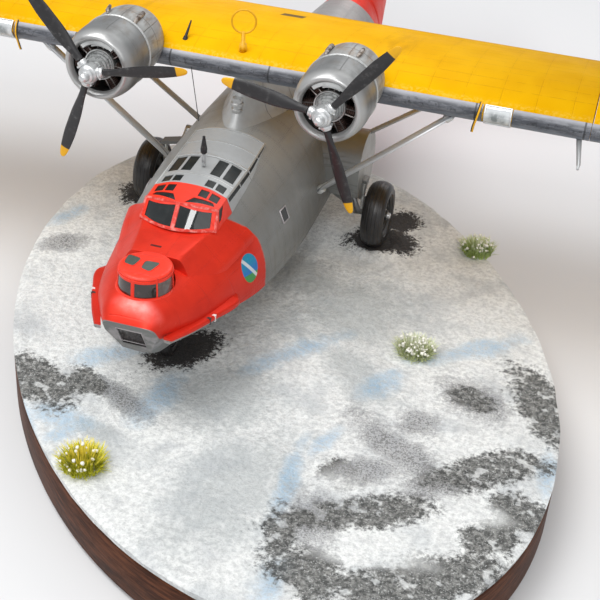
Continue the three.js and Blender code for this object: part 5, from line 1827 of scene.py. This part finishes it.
def build_pylon():
    """The pylon, flared into the hull at its foot and sunk into the wing at its top."""
    shape = through([(x, t, 0) for x, t in PYLON_SHAPE], 4)
    plan = shape + [Vector((-p.x, p.y, 0)) for p in reversed(shape[1:-1])]
    deck_rows = spline(HULL[:16], HULL_SPACING)
    rings = []
    for rise, front, rear, half in spline(PYLON, 0.8):
        level = min(1.0, max(0.0, rise / 6))
        ring = []
        for point in plan:
            x, y = point.x * half, front + (rear - front) * min(1.0, max(0.0, point.y))
            ceiling = WING["lead_z"] - (y - WING["lead_y"]) * WING["slope"] - 1.0
            floor = hull_top(deck_rows, x, y) * (1 - level) + PYLON_FOOT * level
            ring.append((x, y, min(floor + rise, ceiling)))
        rings.append(ring)
    bm = bmesh.new()
    add_loft(bm, rings)
    silver = plain_silver("pylon_silver", 0.5, (0.38, 0.385, 0.38))
    new_piece("pylon_skin", bm, silver, "silver_paint", 40, ("pylon",))


# Columns: radius, height
FITTING = (
    (0.02, 46.4), (1.35, 46.4), (1.5, 46.9), (1.5, 47.5), (1.15, 47.7), (1.1, 48.3), (1.6, 48.5),
    (1.65, 49.1), (1.25, 49.3), (1.2, 49.7), (1.45, 49.9), (1.3, 50.5), (0.02, 50.7),
)


def build_pylon_fitting():
    """The small ringed fitting on the pylon's nose."""
    bm = bmesh.new()
    add_turned(bm, FITTING, (0, 77.2, 0), (0, 0, 1), 32)
    metal = bright_metal("fitting_metal", (0.46, 0.46, 0.45), 0.75)
    new_piece("pylon_fitting", bm, metal, "bright_metal", 30)


def build_strut_ends():
    """A bright sleeve over both ends of each wing strut."""
    metal = bright_metal("strut_sleeve", (0.72, 0.73, 0.72), 0.25)
    for name in SIDES:
        bm = bmesh.new()
        for strut in ("front", "rear"):
            vertices = frame["nodes"][f"wing_strut_{strut}_{name}"].data.vertices
            points = [to_mm(vertex.co) for vertex in vertices]
            ends = []
            for pick in (min, max):
                level = pick(point.z for point in points)
                near = [point for point in points if abs(point.z - level) < 1.5]
                ends.append(sum(near, Vector()) / len(near))
            along = (ends[1] - ends[0]).normalized()
            for end, way in zip(ends, (along, -along)):
                add_tube(bm, [end + way * d for d in (-0.3, 0.2, 1.6, 1.9)], [0.9, 1.15, 1.15, 0.95], 12)
        new_piece(f"strut_sleeves_{name}", bm, metal, "silver_paint", 40)


def build_wing_details():
    """A post and the aerial wire beside the loop antenna, and a small bump behind each nacelle."""
    black = fine_black()
    bm = bmesh.new()
    foot = wing_point(-16.6, 0.085, 1, 0)
    add_tube(bm, [foot - Vector((0, 0, 0.4)), foot + Vector((0.1, 0.2, 0.5))], [0.75, 0.5], 10)
    add_tube(bm, [foot + Vector((0.05, 0.2, 0.3)), foot + Vector((0.6, 2.6, 4.0))], [0.42, 0.2], 8)
    new_piece("wing_post", bm, black, "blade_grey", 50)
    bm = bmesh.new()
    add_tube(bm, [wing_point(-12.9, 0.004, -1, 0) + Vector((0, 0.3, 0)), Vector((-9.6, 74.8, 43.0))], 0.11, 6)
    new_piece("aerial_wire", bm, black, "blade_grey", 50)
    bm = bmesh.new()
    for side in SIDES.values():
        rings = []
        for k in range(9):
            t = k / 8
            point = wing_point(side * 37.0, 0.23 + 0.10 * t, 1, 0)
            swell = 1.0 * math.sin(math.pi * min(1, t * 1.15 + 0.05)) ** 0.7 * (1 - 0.35 * t) + 0.02
            rings.append([(point.x + swell * math.cos(a), point.y, point.z - 0.3 + swell * 0.9 * math.sin(a))
                          for a in turns(12)])
        add_loft(bm, rings)
    new_piece("wing_bumps", bm, yellow_metal("bump"), "yellow_paint", 50)


def build_wing():
    yellow = wing_paint()
    dress("wing_centre", yellow, 50)
    build_pylon()
    build_pylon_fitting()
    strut = plain_silver("strut_silver", 0.2, (0.64, 0.65, 0.655))
    floats = plain_silver("float_silver", 0.6)
    for name in SIDES:
        for part, material, sharp in (
                ("wing_outer", yellow, 50), ("aileron", yellow, 50), ("wingtip_float", floats, 40),
                ("wing_strut_front", strut, 50), ("wing_strut_rear", strut, 50)):
            dress(f"{part}_{name}", material, sharp)
    dress("loop_antenna", yellow_metal("loop"), 40)
    dress("pitot_mast", plain_silver("pitot_silver", 0.3, (0.5, 0.51, 0.51)), 40)
    build_boots()
    build_wing_details()
    build_strut_ends()


# Gear and tail

# Half of a tyre's section. Columns: share of its depth from the rim out, share of its half width
TYRE = (
    (0.0, 0.70), (0.12, 0.86), (0.22, 0.88), (0.27, 0.96), (0.33, 0.93), (0.47, 1.0), (0.56, 0.985),
    (0.60, 1.0), (0.65, 0.955), (0.78, 0.86), (0.90, 0.62), (0.97, 0.34), (1.0, 0.0),
)
# Half of a wheel disc's section. Columns: share of the rim's radius, share of the half width
DISC = ((0.02, 0.9), (0.3, 0.9), (0.34, 0.5), (0.8, 0.45), (0.86, 0.66), (0.97, 0.66), (1.0, 0.6))
# The rim's share of a wheel's radius, and mm between the rim and the tyre
RIM_SHARE = 0.5
HUB_GAP = 0.3


def build_wheel(name, wheel, side, body, rubber, paint_hub):
    """A round tyre with ridges on its walls and a dished hub, in the places of the CAD's."""
    rim = wheel["radius"] * RIM_SHARE
    half = wheel["width"] / 2
    depth = wheel["radius"] - rim - HUB_GAP
    middle = side * wheel["x"]
    centre = (0, wheel["y"], wheel["z"])
    wall = [(rim + HUB_GAP + depth * out, half * share) for out, share in TYRE]
    face = [(rim * r, half * x) for r, x in DISC]
    disc = name.replace("tyre", "wheel") + "_disc"
    for piece, profile, segments, material, slot, sharp, node in (
            (f"{name}_rubber", wall + [(r, -x) for r, x in reversed(wall[:-1])] + wall[:1], 96,
             rubber, "tyre_rubber", 40, name),
            (disc, face + [(r, -x) for r, x in reversed(face)], 64,
             paint_hub, "engine_dark", 35, name.replace("tyre", "wheel_hub"))):
        bm = bmesh.new()
        add_turned(bm, [(r, middle + x) for r, x in profile], centre, (1, 0, 0), segments)
        new_piece(piece, bm, material, slot, sharp, (node,), body)


def build_gear_trim(name, side):
    """The upright and the cross plate beside each main wheel."""
    bm = bmesh.new()
    for low, high, radius in ((11.2, 20.6, 0.55), (14.2, 15.4, 0.85), (19.6, 20.8, 0.8)):
        add_tube(bm, [(side * 30.2, 103.6, z) for z in (low, high)], radius, 12)
    metal = bright_metal(f"upright_metal_{name}", (0.62, 0.62, 0.60), 0.35)
    new_piece(f"gear_upright_{name}", bm, metal, "bright_metal", 40)
    bm = bmesh.new()
    z = 21.6
    section = ((24.2, z), (31.2, z - 1.6), (31.2, z - 0.7), (24.2, z + 0.9))
    add_loft(bm, [[(side * x, y, height) for x, height in section] for y in (101.6, 105.2)])
    grey = plain_silver(f"plate_grey_{name}", 0.9, (0.12, 0.118, 0.112))
    new_piece(f"gear_plate_{name}", bm, grey, "bright_metal", 40)


def build_wheel_cap(name, side, cap):
    """A main wheel's axle nut and the bolts round it."""
    bm = bmesh.new()
    start = WHEEL["x"] + WHEEL["width"] * 0.42
    centre = (0, WHEEL["y"], WHEEL["z"])
    add_turned(bm, [(0.9, start), (0.9, start + 0.8), (0.5, start + 1.1)], centre, (side, 0, 0), 16)
    for angle in turns(8):
        y, z = WHEEL["y"] + 3.1 * math.sin(angle), WHEEL["z"] + 3.1 * math.cos(angle)
        add_ball(bm, (side * (WHEEL["x"] + 1.65), y, z), 0.32)
    new_piece(f"wheel_cap_{name}", bm, cap, "bright_metal", 40, (), f"main_wheel_{name}")


def build_gear():
    hub = wheel_paint()
    metal = bright_metal("leg_metal", (0.42, 0.42, 0.41), 0.8)
    cap = bright_metal("cap_metal", (0.7, 0.7, 0.7), 0.2)
    for name, side in SIDES.items():
        dress(f"main_gear_leg_{name}", metal, 40)
        build_gear_trim(name, side)
        rubber = tyre_rubber(f"tyre_{name}", WHEEL)
        build_wheel(f"main_tyre_{name}", WHEEL, side, f"main_wheel_{name}", rubber, hub)
        build_wheel_cap(name, side, cap)
    dress("nose_gear_leg", metal, 40)
    build_wheel("nose_tyre", NOSE_WHEEL, 0, "nose_wheel", tyre_rubber("tyre_nose", NOSE_WHEEL), hub)


def build_tail():
    red = red_paint("tail_red", ribbed=True)
    for node in ("tail_fin", "rudder"):
        dress(node, red, 50)
    for name in SIDES:
        dress(f"tailplane_{name}", red, 50)
        dress(f"elevator_{name}", red, 50)


# Light and floor

def build_stage():
    """A plain pale floor just under the plinth."""
    bm = bmesh.new()
    half = 3.0
    corners = [bm.verts.new((x * half, y * half, -0.0005)) for x, y in ((-1, -1), (1, -1), (1, 1), (-1, 1))]
    bm.faces.new(corners)
    mesh = bpy.data.meshes.new("floor")
    bm.to_mesh(mesh)
    bm.free()
    shader = Shader("floor_grey", Roughness=0.7)
    shader.colour(shader.mix((0.62, 0.62, 0.62), (0.66, 0.66, 0.66), shader.noise(400.0, 2.0)))
    mesh.materials.append(shader.material)
    floor = bpy.data.objects.new("floor", mesh)
    bpy.context.scene.collection.objects.link(floor)


# Columns: name, place in metres, size in metres, power in watts
LIGHTS = (
    ("key", (-0.38, -0.2, 1.1), (0.8, 0.8), 11.2),
    ("fill", (0.9, -0.7, 0.7), (0.9, 0.9), 3.0),
    ("back", (0.2, 1.1, 0.9), (0.8, 0.8), 4.2),
    ("window", (0.21, -1.0, 1.03), (0.28, 0.5), 6.0),
)


def build_lights():
    for name, place, (wide, high), power in LIGHTS:
        data = bpy.data.lights.new(name, "AREA")
        data.energy = power
        data.shape = "RECTANGLE"
        data.size = wide
        data.size_y = high
        lamp = bpy.data.objects.new(name, data)
        lamp.location = place
        lamp.rotation_euler = (Vector((0, 0, 0.04)) - Vector(place)).to_track_quat("-Z", "Y").to_euler()
        bpy.context.scene.collection.objects.link(lamp)
    world = bpy.data.worlds.new("studio")
    world.use_nodes = True
    world.node_tree.nodes["Background"].inputs[0].default_value = (0.93, 0.95, 1.0, 1)
    world.node_tree.nodes["Background"].inputs[1].default_value = 0.48
    bpy.context.scene.world = world


make_camera()
build_plinth()
build_ground()
build_tufts()
build_hull()
build_turret()
build_canopy()
build_blisters()
build_wing()
build_engines()
build_propellers()
build_gear()
build_tail()
build_stage()
build_lights()

bpy.context.scene.view_settings.view_transform = "Standard"
